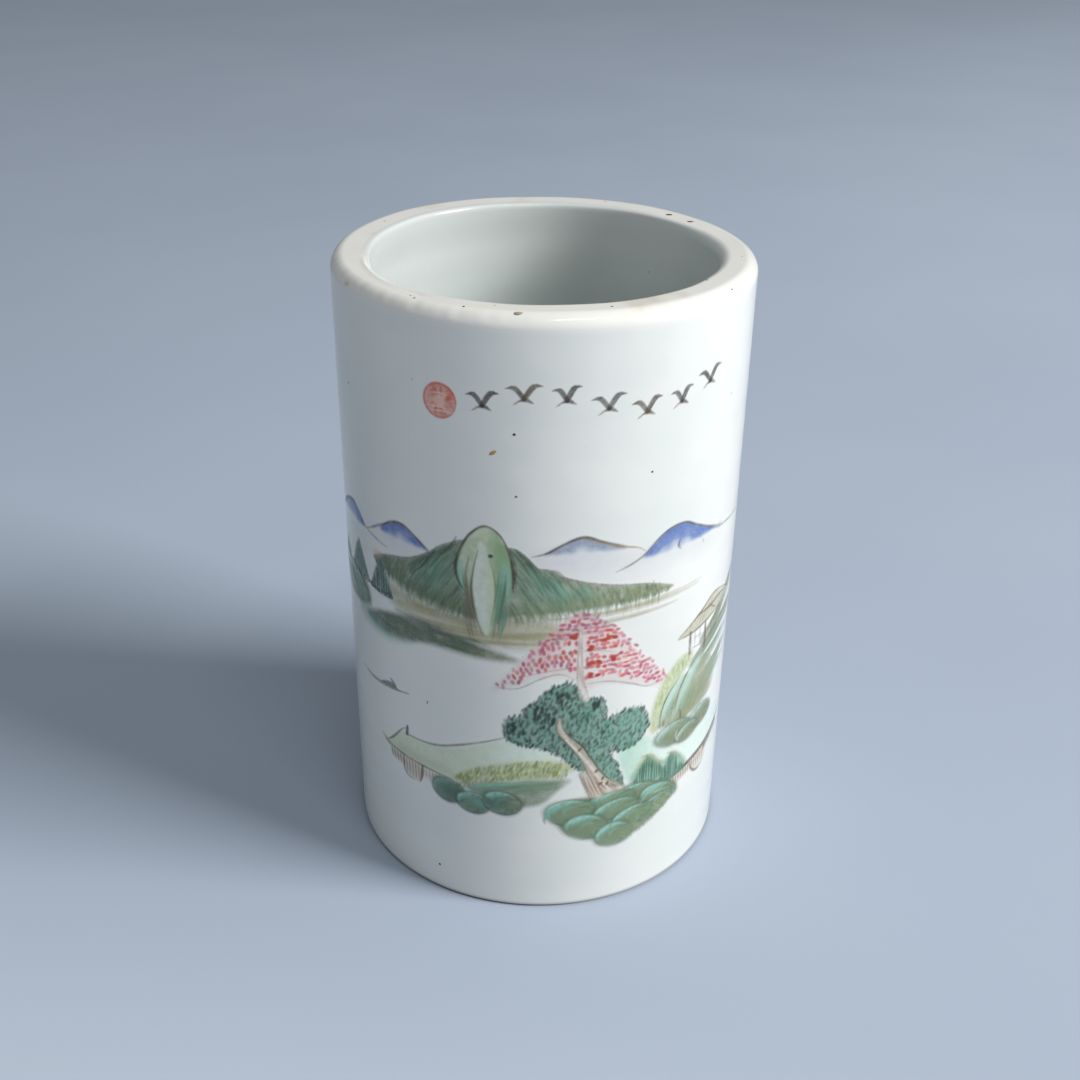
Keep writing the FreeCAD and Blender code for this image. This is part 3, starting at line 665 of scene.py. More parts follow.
def paint_pine():
    canvas.begin("pine_foliage", (7.9, 43.4))
    fill(PINE_OUTLINE, PINE_BODY, 0.98, soft=0.2, thick=0.03, second=between(PINE_BODY, PINE_LIGHT, 0.45),
         turn=lambda a, u: smoothstep(a, 6, 20))
    for along, up in inside_points(PINE_OUTLINE, 0.85, 1.5, 0.35):
        stroke([(along, up + 1.1), (along + 0.1, up - 0.9)], 0.4, PINE_LIGHT, rng.uniform(0.1, 0.8),
               soft=0.12)
    for along, up in inside_points(PINE_OUTLINE, 0.72, 1.15, 0.6):
        depth = np.clip(1.0 - (along + 6) / 34 + 0.25 * math.sin(along * 0.9) * math.sin(up * 0.7), 0.35, 1)
        tone = between(DARK_GREEN, PINE_DARK, depth * rng.uniform(0.7, 1))
        dab(along, up, rng.uniform(0.7, 1.5), rng.uniform(0.36, 0.66), 1.35 + jitter(0.5), tone,
            rng.uniform(0.35, 1.0) * (0.6 + 0.4 * depth), soft=0.1, thick=0.04)
    rim = smooth(PINE_OUTLINE, closed=True)
    for x, y in rim[::2]:
        dab(x + jitter(0.3), y + jitter(0.3), rng.uniform(0.7, 1.1), 0.45, 1.3 + jitter(0.5), PINE_DARK,
            rng.uniform(0.4, 0.9), soft=0.1, thick=0.04)
    for along, up, reach, count in PINE_SHADOWS:
        for _ in range(count):
            dab(along + jitter(reach), up + jitter(reach * 0.8), 1.2, 0.6, 1.3 + jitter(0.3), PINE_DARK, 0.75,
                thick=0.04)


def trunk(left, right, colour=BARK, ink=BARK_INK):
    """A trunk between its two edges."""
    fill(list(left) + list(right)[::-1], colour, 0.97, soft=0.15, second=between(colour, BARK_INK, 0.3),
         turn=lambda a, u: 0.5 + 0.5 * np.sin(a * 2.4 + u * 1.1))
    stroke(left, 0.34, ink, 0.85, dry=0.4)
    stroke(right, 0.34, ink, 0.85, dry=0.4)


def paint_trunks():
    canvas.begin("tree_trunks", (10.7, 46.9))
    trunk([(7.7, 69), (7.5, 63), (7.5, 57.4), (8.2, 52.4)], [(8.1, 69), (8.2, 63), (8.7, 57), (10, 52)],
          (218, 212, 206), (172, 160, 150))
    trunk([(8.4, 34.4), (9.4, 31.6), (10.8, 28)], [(10.4, 34.8), (12.4, 31), (14, 28.2)])
    trunk([(4, 48.4), (3.6, 46), (4.2, 44.2), (6.6, 41), (8.8, 37.6), (10.4, 33.6), (12.4, 29)],
          [(4.5, 48.4), (4.9, 46), (6.2, 43.8), (9, 41), (11, 37.4), (13.8, 33), (18.4, 28.8)])
    stroke([(5.6, 43), (8.2, 39.6), (10.6, 36), (12.6, 32.6), (14.6, 29.6)], 0.7, (226, 218, 208), 0.9,
           soft=0.2)
    stroke([(7.2, 43), (9.4, 40.4), (10.6, 37.6)], 0.4, PINE_DARK, 0.6, taper=(0.2, 0.2))
    for along0, up0 in ((12, 34.6), (13.4, 32.4), (14.4, 31), (8.4, 40.4), (13, 31.2)):
        dab(along0, up0, 1.1, 0.6, 0.8 + jitter(0.5), BARK_INK, 0.9)
    for shift in (0, 0.8, 1.5, 2.4):
        stroke([(9.2 + shift, 33.4), (10.2 + shift, 30.6), (11.2 + shift, 28.4)], 0.26, BARK_INK, 0.75)
    for shift in (0, 1.3, 2.6):
        stroke([(12.6 + shift, 31.6 - 0.4 * shift), (14.4 + shift, 29.4)], 0.3, BARK_INK, 0.7)


def rock(along0, up0, rx, rz, tilt=0.0, body=OLIVE_GREEN, crest=TURQUOISE, ink=DARK_GREEN, heart=True):
    """A water-worn rock: a broad turquoise crescent at its top left that melts into an olive body."""
    c, s = math.cos(tilt), math.sin(tilt)

    def at(size, angle, shift=0.0):
        x, y = size * rx * math.cos(angle) + shift * rx, size * rz * math.sin(angle)
        return (along0 + x * c - y * s, up0 + x * s + y * c)

    def ring(size):
        around = np.linspace(0, 2 * math.pi, 14, endpoint=False)
        return [at(size * (1 + 0.05 * math.sin(3 * a + along0)), a) for a in around]

    def crescent(size, first, last, shift=0.0):
        return [at(size, a, shift) for a in np.radians(np.linspace(first, last, 7))]

    def rise(a, u):
        """Runs from -1 at the rock's lower right to 1 at its upper left."""
        across = ((a - along0) * c + (u - up0) * s) / rx
        return 0.8 * ((u - up0) * c - (a - along0) * s) / rz - 0.55 * across

    middle = between(between(MID_GREEN, TEAL, 0.4), body, 0.3)
    fill(ring(1.07), between(ink, DEEP_GREEN, 0.4), 0.6, soft=0.4)
    fill(ring(0.97), middle, 0.97, soft=0.2, second=crest, thick=0.03,
         turn=lambda a, u: smoothstep(rise(a, u), 0.15, 0.85))
    fill(ring(0.68), body, 0.68, soft=0.9, fade=lambda a, u: 1.25 - smoothstep(rise(a, u), 0.05, 0.6))
    stroke(crescent(0.84, 200, 50), 0.36 * rz, between(crest, (228, 240, 234), 0.3), 0.9,
           taper=(0.1, 0.05), soft=0.3, streaks=0.3)
    stroke(crescent(0.62, 190, 80), 0.24 * rz, crest, 0.5, taper=(0.1, 0.05), soft=0.3, streaks=0.5)
    if heart:
        stroke(crescent(0.36, 200, 60, 0.15), 0.24 * rz, crest, 0.5, taper=(0.1, 0.1), soft=0.35, streaks=0.5)
    for i in range(int(rx * 7)):
        a = rng.uniform(-1.4, 2.6)
        start, end = at(rng.uniform(0.4, 0.75), a), at(0.95, a - 0.3)
        stroke([start, end], 0.3, (ink, crest, body)[i % 3], 0.3, soft=0.2)
    stroke([at(1.0, a) for a in np.radians(np.linspace(20, 200, 10))], 0.26, ink, 0.55, dry=0.5)
    stroke([at(1.0, a) for a in np.radians(np.linspace(200, 290, 7))], 0.3, ink, 0.35, dry=0.5, soft=0.2)


# (along, up, half width, half height, tilt), from the back to the front
FRONT_ROCKS = ((21.0, 26.7, 5.4, 2.1, -0.05), (15.0, 26.0, 5.8, 2.4, 0.12), (6.6, 25.0, 5.2, 3.1, 0.05),
               (27.4, 23.9, 5.6, 2.5, -0.3), (16.6, 23.9, 5.2, 2.4, 0.15), (26.0, 21.2, 5.2, 2.3, 0.3),
               (20.4, 20.8, 5.0, 2.5, 0.2), (10.2, 20.6, 4.9, 3.2, -0.2), (16.4, 17.4, 4.3, 3.1, 0.0))


def paint_front_rocks():
    canvas.begin("front_rocks", (17.4, 21.4))
    fill([(3, 24), (6, 27.6), (12, 28.4), (22, 28.8), (30, 26), (32.6, 22.8), (27, 18.6), (20, 16),
          (12, 17.4), (6, 20)], between(DARK_GREEN, MID_GREEN, 0.6), 0.95, soft=0.4)
    for i in range(34):
        at = rng.uniform(19, 29)
        high = 16.6 + (at - 19) * 0.55 + jitter(1.2)
        stroke([(at - 4, high), (at, high + 0.8), (at + 3, high + 2.6)], 0.8,
               (OLIVE_GREEN, (138, 134, 100))[i % 2], 0.5, soft=0.3, streaks=0.7)
    for along0, up0, rx, rz, tilt in FRONT_ROCKS:
        rock(along0, up0, rx, rz, tilt)
    stroke([(4, 26.6), (2.2, 25), (1.5, 23.2), (1.8, 22.3)], 0.9, between(TEAL, TURQUOISE, 0.4), 0.9,
           taper=(0.6, 0.2))
    stroke([(23, 25.4), (26.6, 24.6), (30.4, 23.8)], 0.8, (150, 178, 164), 0.6, soft=0.3, streaks=0.5)
    stroke([(22.6, 23.4), (24.6, 25.4), (28, 25.8)], 0.7, TURQUOISE, 0.8, soft=0.25, streaks=0.3)
    for i in range(70):
        t = rng.random()
        along0, up0 = between(19, 31, t) + jitter(0.5), between(15.6, 21.6, t) + jitter(0.6)
        reach = rng.uniform(1.2, 2.6)
        stroke([(along0 - reach, up0 + 0.7 * reach), (along0, up0), (along0 + 0.3, up0 - 0.9)], 0.4,
               (OLIVE_GREEN, MID_GREEN, (150, 158, 132))[i % 3], 0.5, taper=(0.2, 0.05), soft=0.2)


def paint_left_rocks():
    canvas.begin("left_rocks", (-8.0, 27.5))
    fill([(-15, 29.6), (-8, 31.8), (0, 33.2), (7, 33.2), (4, 30.4), (0.6, 27.2), (-5, 26.4), (-10, 28)],
         between(MID_GREEN, TEAL, 0.35), 0.95, soft=0.4, second=MID_GREEN,
         turn=lambda a, u: smoothstep(a, -8, 0), fade=lambda a, u: 1.2 - smoothstep(a, 2, 9))
    for i in range(60):
        at = rng.uniform(-15, -1)
        high = 30.2 + (at + 15) * 0.12 + jitter(1.2)
        colour = (TEAL, MID_GREEN, OLIVE_GREEN)[i % 3]
        stroke([(at, high - 0.9), (at + 3, high + 0.2), (at + rng.uniform(5, 8), high + 0.8)], 0.6,
               colour, 0.4, soft=0.25, streaks=0.4)
    stroke([(-13.4, 29.6), (-9.4, 31.2), (-5, 32.1), (-1.6, 32.6)], 0.8, TURQUOISE, 0.85, soft=0.25,
           streaks=0.3)
    dark = between(DARK_GREEN, DEEP_TEAL, 0.7)
    rock(-18.8, 27.3, 4.0, 2.9, -0.1, body=dark, crest=between(TEAL, DEEP_TEAL, 0.4), ink=DEEP_GREEN,
         heart=False)
    rock(-7.0, 27.0, 4.2, 2.9, -0.15, body=dark, crest=between(TEAL, TURQUOISE, 0.7), ink=DEEP_GREEN)
    rock(-13.2, 25.9, 3.9, 2.6, 0.0, body=dark, crest=between(TEAL, TURQUOISE, 0.5), ink=DEEP_GREEN,
         heart=False)
    for x, y, reach in ((-18.8, 27.3, 4.0), (-13.2, 25.9, 3.9), (-7, 27, 4.2)):
        below = np.radians(np.linspace(165, 330, 8))
        under = [(x + reach * math.cos(a), y + 0.68 * reach * math.sin(a)) for a in below]
        stroke(under, 0.5, DEEP_GREEN, 0.7, soft=0.2, dry=0.3)
    fill([(-15, 26), (-12.4, 27.4), (-10.6, 26.4), (-12, 25)], TURQUOISE, 0.6, soft=0.7)
    fill([(-5, 25.4), (-3.4, 27), (-4.6, 28.4), (-6.4, 26.6)], (164, 140, 104), 0.5, soft=0.7)
    stroke([(-6, 29.8), (-3.9, 28.6), (-3, 26.8), (-4.2, 24.8)], 0.44, BARK_INK, 0.8)


def paint_left_bank():
    canvas.begin("left_bank", (-19.2, 36.2))
    fill([(-35.4, 31.6), (-32.6, 35), (-30, 37.4), (-24, 37), (-16, 38.8), (-5.4, 43.2), (-2, 41.4),
          (4, 38.4), (-8, 36.6), (-16, 32), (-17.4, 30.4), (-26, 30.8)], BANK_GREEN, 0.97, soft=0.3,
         second=between(BANK_GREEN, PALE_MINT, 0.7), turn=lambda a, u: smoothstep(a, -16, -4))
    fill([(-34, 31.6), (-31, 33.6), (-22, 33.4), (-17, 31.4), (-26, 31)],
         between(BANK_GREEN, OLIVE_GREEN, 0.4), 0.6, soft=0.9)
    stroke([(-36.4, 31.8), (-33.8, 34), (-31, 37.2), (-29.8, 38.2)], 0.52, OLIVE_INK, 0.9, dry=0.3)
    stroke([(-29.6, 36.9), (-24, 37.2), (-20, 38), (-13, 40.6), (-8, 42.6), (-5.4, 43.8)], 0.55,
           OLIVE_INK, 0.75, dry=0.4)
    stroke([(-29.1, 38.9), (-29.3, 36.9)], 0.85, INK, 0.9, taper=(0.7, 0.8))
    stroke([(-36.6, 31.9), (-30, 31.1), (-24, 30.8), (-18, 30.3)], 0.55, OLIVE_INK, 0.85, dry=0.3)
    stroke([(-37.8, 32.8), (-35.2, 31.6), (-33.6, 31.4)], 1.1, (132, 136, 96), 0.7, soft=0.3)


def hedge(outline, ridge, thickness, count, lean, tones, strength):
    """A clipped hedge: a yellow-green wash under rows of short strokes."""
    fill(outline, YELLOW_GREEN, 0.9, soft=0.35, thick=0.03)
    line = smooth(ridge)
    for i in range(count):
        x, y = line[int(rng.random() * (len(line) - 1))]
        y -= rng.random() * thickness
        stroke([(x, y + 0.3), (x + lean * 0.6, y - 0.2), (x + lean, y - 0.8)], 0.42, tones[i % len(tones)],
               rng.uniform(0.5, 1.0) * strength, soft=0.14, thick=0.03)


def paint_hedges():
    canvas.begin("hedges", (8.3, 43.4))
    hedge(
        [(-17.6, 30.2), (-15, 33.4), (-8, 36.6), (0, 38), (5.4, 37.6), (7.4, 35.6), (2, 33.6), (-8, 31.8)],
        [(-16.6, 31.8), (-12, 34.8), (-6, 36.8), (0, 37.9), (6.4, 37)], 3.6, 400, -0.35,
        (HEDGE_INK, (146, 156, 98), (206, 214, 160), HEDGE_INK), 0.75,
    )
    hedge([(24, 40.6), (24.2, 46), (26.6, 51.6), (31, 55.6), (35.4, 55), (31.4, 50.6), (27.8, 46.4),
           (26.4, 40.6)], [(24.6, 43.4), (25, 47), (27.6, 52), (30.6, 55.2), (34.6, 55.4)], 3.0, 300, 0.2,
          ((148, 164, 116), (206, 214, 180), (176, 190, 148), (206, 214, 180)), 0.75)


def mound(outline, crest_line, along0):
    """A fold of the right-hand hill: olive below, turquoise along its upper left edge."""
    fill(outline, (146, 154, 124), 0.95, soft=0.3, second=(176, 206, 194),
         turn=lambda a, u: smoothstep(u - 1.3 * (a - along0), 40.5, 45),
         fade=lambda a, u: 1.25 - smoothstep(a, 37, 48))
    for i in range(40):
        at = along0 + rng.uniform(0, 9)
        low = rng.uniform(40.4, 43)
        tall = rng.uniform(2.5, 6)
        colour = (OLIVE_GREEN, MID_GREEN, TURQUOISE)[i % 3]
        stroke([(at + 0.4 * tall, low + tall), (at + 0.1 * tall, low + tall / 2), (at, low)], 0.45,
               colour, 0.3, soft=0.22)
    stroke(crest_line, 0.42, DARK_GREEN, 0.8, dry=0.3)


def paint_right_hillside():
    canvas.begin("right_hillside", (39.3, 51.2))
    sweeps = (
        ([(38, 56.4), (43, 58.6), (48, 62), (54, 65), (64, 66.6)], (122, 132, 110), 3.4),
        ([(35, 52.2), (40, 54.6), (47, 57.2), (55, 58.4), (63, 59.4)], (116, 128, 108), 3.0),
        ([(36, 49.6), (42, 51.8), (49, 53.6), (57, 53.2)], (150, 174, 160), 2.4),
        ([(38, 46.4), (43, 48), (49, 50), (55, 50.4)], (136, 150, 130), 2.6),
        ([(38, 43.4), (43, 45.2), (48, 47), (53, 47)], (162, 184, 170), 2.0),
    )
    for path, colour, width in sweeps:
        stroke(path, width, colour, 0.9, taper=(0.5, 0.05), soft=0.45, matt=0.1, streaks=0.5)
        for i in range(26):
            shift = rng.uniform(-0.45, 0.45) * width
            tone = (DARK_GREEN, colour, OLIVE_GREEN, colour)[i % 4]
            stroke([(x + jitter(0.4), y + shift) for x, y in path[:-1]], 0.5, tone, 0.25,
                   taper=(0.2, 0.1), soft=0.3)
        top = [(x, y + 0.42 * width) for x, y in path[:-1]]
        stroke(top, 0.36, DARK_GREEN, 0.55, dry=0.5)
    mound([(26.4, 40.4), (26.6, 44), (28.4, 47.8), (31.6, 50.8), (35, 50), (38, 44), (36, 40.4)],
          [(26.2, 40.8), (26.6, 44.6), (28.4, 48.2), (31.2, 50.8)], 27)
    mound([(30.6, 40.4), (31, 45), (33, 49.6), (37, 53), (41, 52), (45, 48), (45, 42.6), (38, 40.4)],
          [(30.4, 43.6), (31.4, 47.4), (33.6, 50.8), (37.4, 53.6)], 31)
    fill([(33, 41), (36, 45), (41, 46), (44, 42.4), (38, 40.4)], (138, 142, 104), 0.6, soft=0.9)
    stroke([(32, 42.8), (32.3, 41), (32.1, 39.8)], 0.6, (110, 92, 56), 0.85)
    stroke([(27.4, 42.2), (27.3, 40.6)], 0.5, (110, 92, 56), 0.6)


def paint_right_rocks():
    canvas.begin("right_rocks", (34.7, 37.4))
    olive, crest, rim = (130, 132, 98), (156, 190, 178), (84, 88, 66)
    rock(39.8, 37.5, 5.0, 2.6, 0.0, body=(128, 124, 92), crest=crest, ink=rim)
    rock(30.6, 37.6, 5.3, 2.8, 0.0, body=olive, crest=crest, ink=rim)
    rock(35.2, 35.8, 3.9, 2.1, 0.1, body=(134, 130, 96), crest=(166, 196, 178), ink=rim)
    stroke([(31.6, 37.6), (31.3, 36.2), (31.8, 35)], 0.5, (186, 212, 196), 0.8, soft=0.2)


def paint_mint_wash():
    canvas.begin("mint_wash", (33.7, 33.1))
    fill([(16.6, 38.6), (21, 40.6), (25.4, 38.6), (26, 36), (31, 33.8), (28, 31), (19.6, 30), (17.8, 33)],
         MINT, 0.9, soft=0.5, second=PALE_MINT, turn=lambda a, u: smoothstep(a, 19, 29))
    fill([(30, 33.6), (36, 33.4), (45, 36), (51, 34), (50, 31), (44, 29), (34, 28.4), (30, 30)],
         PALE_MINT, 0.9, soft=0.8)


def paint_reeds():
    canvas.begin("reeds", (27.6, 30.4))
    green = between(TEAL, MID_GREEN, 0.3)
    fill([(19.6, 29.6), (22, 34), (24, 35), (28, 31.8), (30.4, 33), (33.4, 30.6), (35.4, 27), (28, 25.6),
          (22, 28)], green, 0.75, soft=0.35, second=(168, 164, 118),
         turn=lambda a, u: smoothstep(u, 30.5, 33.5))
    striped_tree(20, 29.4, 35, 28.2, 0.38, green, (56, 88, 74), 17)
    striped_tree(26.6, 35.4, 32.8, 26.2, 0.42, green, (60, 90, 76), 16)
    for _ in range(18):
        at = rng.uniform(21, 34)
        stroke([(at, 31 + jitter(1)), (at + 0.1, 27.6 + jitter(0.6))], 0.34, (150, 192, 172), 0.6, soft=0.12)
    stroke([(22.2, 35), (24.6, 34.4), (26.2, 32.6), (28, 31.2)], 0.8, (146, 142, 104), 0.5, soft=0.25,
           streaks=0.5)
    stroke([(29, 33.1), (31.4, 32), (33.4, 29.8), (35, 27.4)], 0.8, (150, 136, 106), 0.5, soft=0.25,
           streaks=0.5)


def paint_pavilion():
    canvas.begin("pavilion", (40.5, 60.2))
    fill([(30.2, 60.2), (33, 62), (37, 63.8), (41.8, 65.6), (46, 64.8), (51, 62.6), (46, 61.6),
          (40, 60.6), (34, 60)], (190, 188, 164), 0.95, soft=0.2)
    for i in range(14):
        top = 33 + i * 1.15
        stroke([(top, level([(33, 61.8), (41.6, 64.8), (50, 63)], top)), (top - 1.2, 60.4 + 0.05 * i)], 0.3,
               (142, 138, 112), 0.6)
    stroke([(30, 60.3), (33, 61.8), (37.2, 63.8), (41.6, 65.7), (46.4, 65), (51.4, 62.8)], 0.5,
           TIMBER_INK, 0.85, dry=0.4)
    stroke([(30, 60.1), (35, 60), (41, 60.8), (46, 61.6)], 0.5, TIMBER_INK, 0.85, dry=0.3)
    stroke([(36, 63.2), (40, 63.4), (45, 64), (49, 63.4)], 0.6, TIMBER_INK, 0.8, dry=0.3)
    stroke([(40.2, 64), (42, 62.6), (43.6, 61.8)], 0.4, TIMBER_INK, 0.75)
    for at, low in ((33.8, 55.2), (39.2, 54.4)):
        stroke([(at, 60.3), (at + 0.1, low)], 0.85, TIMBER_INK, 0.85, taper=(0.7, 0.8))
    for at in (35.4, 37.2, 41.8):
        stroke([(at, 60), (at + 0.1, 56.2)], 0.34, TIMBER_INK, 0.6)
    stroke([(34.6, 56.2), (38.6, 55.8)], 0.34, TIMBER_INK, 0.6)
    stroke([(35, 58.4), (38.4, 58.2)], 0.3, TIMBER_INK, 0.5)


def paint_timber():
    canvas.begin("timber_work", (7.6, 27.5))
    fill([(-35, 31.2), (-31, 30.8), (-31, 28.6), (-34, 28.8)], TIMBER, 0.8, soft=0.3, sharp_corners=True)
    fill([(-30.6, 30.8), (-25.2, 30.6), (-25.6, 26.8), (-28, 26.2), (-30, 27)], TIMBER, 0.9, soft=0.25)
    fill([(-25, 30.6), (-20, 30.2), (-22, 28), (-25, 28)], TIMBER, 0.6, soft=0.5)
    for i in range(5):
        at = -34.4 + i * 0.95
        stroke([(at - 0.15, 31), (at + 0.2, 28.8 - 0.1 * i)], 0.5, TIMBER_INK, 0.85)
    for i in range(7):
        at = -30.6 + i * 0.85
        stroke([(at, 30.8), (at + 0.1, 26.9 + 0.1 * abs(i - 3))], 0.34, TIMBER_INK, 0.7)
    stroke([(-30.6, 31), (-30.6, 28), (-29.6, 26.4), (-27.6, 26.1)], 0.46, TIMBER_INK, 0.8)
    stroke([(-25.2, 30.8), (-25.4, 28.6), (-26, 26.4)], 0.75, TIMBER_INK, 0.9, taper=(0.7, 0.4))
    for i in range(5):
        stroke([(-24.4 + i * 0.9, 30.4), (-24.2 + i * 0.9, 28.2)], 0.36, TIMBER_INK, 0.5)
    fill([(29.4, 26), (37, 27), (36.6, 24.6), (32, 23.8)], TIMBER, 0.9, soft=0.3)
    fill([(37.4, 26.8), (43.6, 28), (43.6, 25), (40.6, 22.9), (38.4, 23.6)], TIMBER, 0.8, soft=0.3)
    stroke([(28.4, 25.7), (33, 26.5), (38, 27.4), (43.4, 28.4), (49, 30.2), (55, 31.4)], 1.1,
           between(TIMBER_INK, INK, 0.5), 0.95, taper=(0.5, 0.3), dry=0.2)
    stroke([(36.8, 26.8), (38, 24.4), (40, 22.9), (42.4, 23.2), (44.4, 25.2)], 0.6, TIMBER_INK, 0.85)
    for i in range(9):
        at = 30.6 + i * 0.85
        stroke([(at, 25.9 + 0.12 * i), (at + 0.15, 24.3)], 0.36, TIMBER_INK, 0.7)
    for i in range(6):
        at = 38 + i * 0.95
        stroke([(at, 27.4 + 0.15 * i), (at + 0.1, 24 + 0.1 * i)], 0.36, TIMBER_INK, 0.65)
    for i in range(10):
        at = 43.4 + i * 0.8
        stroke([(at, 28.6 + 0.25 * i), (at - 0.1, 26 + 0.25 * i)], 0.7, between(TIMBER_INK, INK, 0.4),
               0.95, dry=0.3)


def paint_boat():
    canvas.begin("boat", (-36.9, 46.8))
    grey = (92, 90, 80)
    stroke([(-45.6, 45.8), (-41, 45.4), (-36, 45.9), (-32, 46.5), (-28.4, 47.2)], 0.75, grey, 0.8,
           taper=(0.25, 0.35), dry=0.4)
    stroke([(-37, 46.2), (-33.6, 47), (-31.4, 46.6)], 1.1, between(grey, INK, 0.3), 0.85)
    stroke([(-34, 48.4), (-33, 47.8), (-31.8, 46.6)], 0.8, INK, 0.8)


def wing(root, tip, lift, width, colour):
    """One wing: a stroke that rises from the breast and droops to its tip."""
    middle = (root[0] + (tip[0] - root[0]) * 0.5, root[1] + (tip[1] - root[1]) * 0.5 + lift)
    stroke([root, middle, tip], width, colour, 0.95, taper=(0.9, 0.12), soft=0.1, matt=0.5, dry=0.25)


GOOSE_COUNT = 7
FIRST_GOOSE, GOOSE_SPACING, GEESE_UP = -10.5, 7.4, 113


def paint_geese():
    canvas.begin("geese", (11.7, 113.1))
    for i in range(GOOSE_COUNT):
        at = FIRST_GOOSE + GOOSE_SPACING * i + 0.3 * math.sin(3.1 * i)
        high = GEESE_UP + 2.0 * math.sin(1.1 * i)
        span = 3.0 + 0.4 * math.sin(2.3 * i)
        colour = between(INK, GOLD_INK, 0.06 + 0.26 * (i % 3 == 1))
        wing((at, high), (at - span, high + 1.7), 1.0, 0.95, colour)
        wing((at, high), (at + span, high + 2.4), 1.1, 1.05, colour)
        stroke([(at - 1.0, high - 0.5), (at + 0.3, high - 0.15), (at + 1.6, high - 0.8)], 0.74, colour, 0.95,
               taper=(0.3, 0.2), matt=0.5)
        stroke([(at - 0.9, high - 0.5), (at - 1.9, high - 1.2)], 0.32, GOLD_INK, 0.9, matt=0.5)


SUN_ALONG, SUN_UP, SUN_RADIUS = -18.6, 112.6, 3.2


def sun_point(radius, angle):
    return (SUN_ALONG + radius * math.cos(angle), SUN_UP + radius * math.sin(angle))


def paint_sun():
    canvas.begin("sun_disc", (SUN_ALONG, SUN_UP))
    ring = [sun_point(SUN_RADIUS, a) for a in np.linspace(0, 2 * math.pi, 16, endpoint=False)]
    fill(ring, (230, 142, 104), 0.8, soft=0.25, second=IRON_RED, matt=0.3, grain=0.5,
         turn=lambda a, u: smoothstep(np.hypot(a - SUN_ALONG, u - SUN_UP), 0.8, SUN_RADIUS))
    for _ in range(26):
        a = rng.uniform(0, 2 * math.pi)
        stroke([sun_point(1.2, a), sun_point(2.9, a + 0.3)], 0.5, IRON_RED, 0.5, soft=0.2, matt=0.3)
    stroke(ring + ring[:1], 0.46, IRON_RED, 0.95, taper=(0.8, 0.5), matt=0.4, dry=0.3)
    for low, left, right in ((111.2, -21.6, -16.4), (110.5, -20.4, -15.6), (113.8, -20.6, -17)):
        cloud = [(left, low), ((left + right) / 2, low + 0.25), (right, low)]
        stroke(cloud, 0.36, (238, 226, 214), 0.85, soft=0.12)


FAR_TO_NEAR = (
    paint_far_hills, paint_main_mountain, paint_dome, paint_shore, paint_cypresses, paint_blossom,
    paint_left_bank, paint_timber, paint_mint_wash, paint_hedges, paint_left_rocks, paint_pine,
    paint_reeds, paint_front_rocks, paint_trunks, paint_right_hillside, paint_right_rocks,
    paint_pavilion, paint_boat, paint_geese, paint_sun,
)
for paint_group in FAR_TO_NEAR:
    paint_group()

# ---------------------------------------------------------------------------------------------------
# Materials


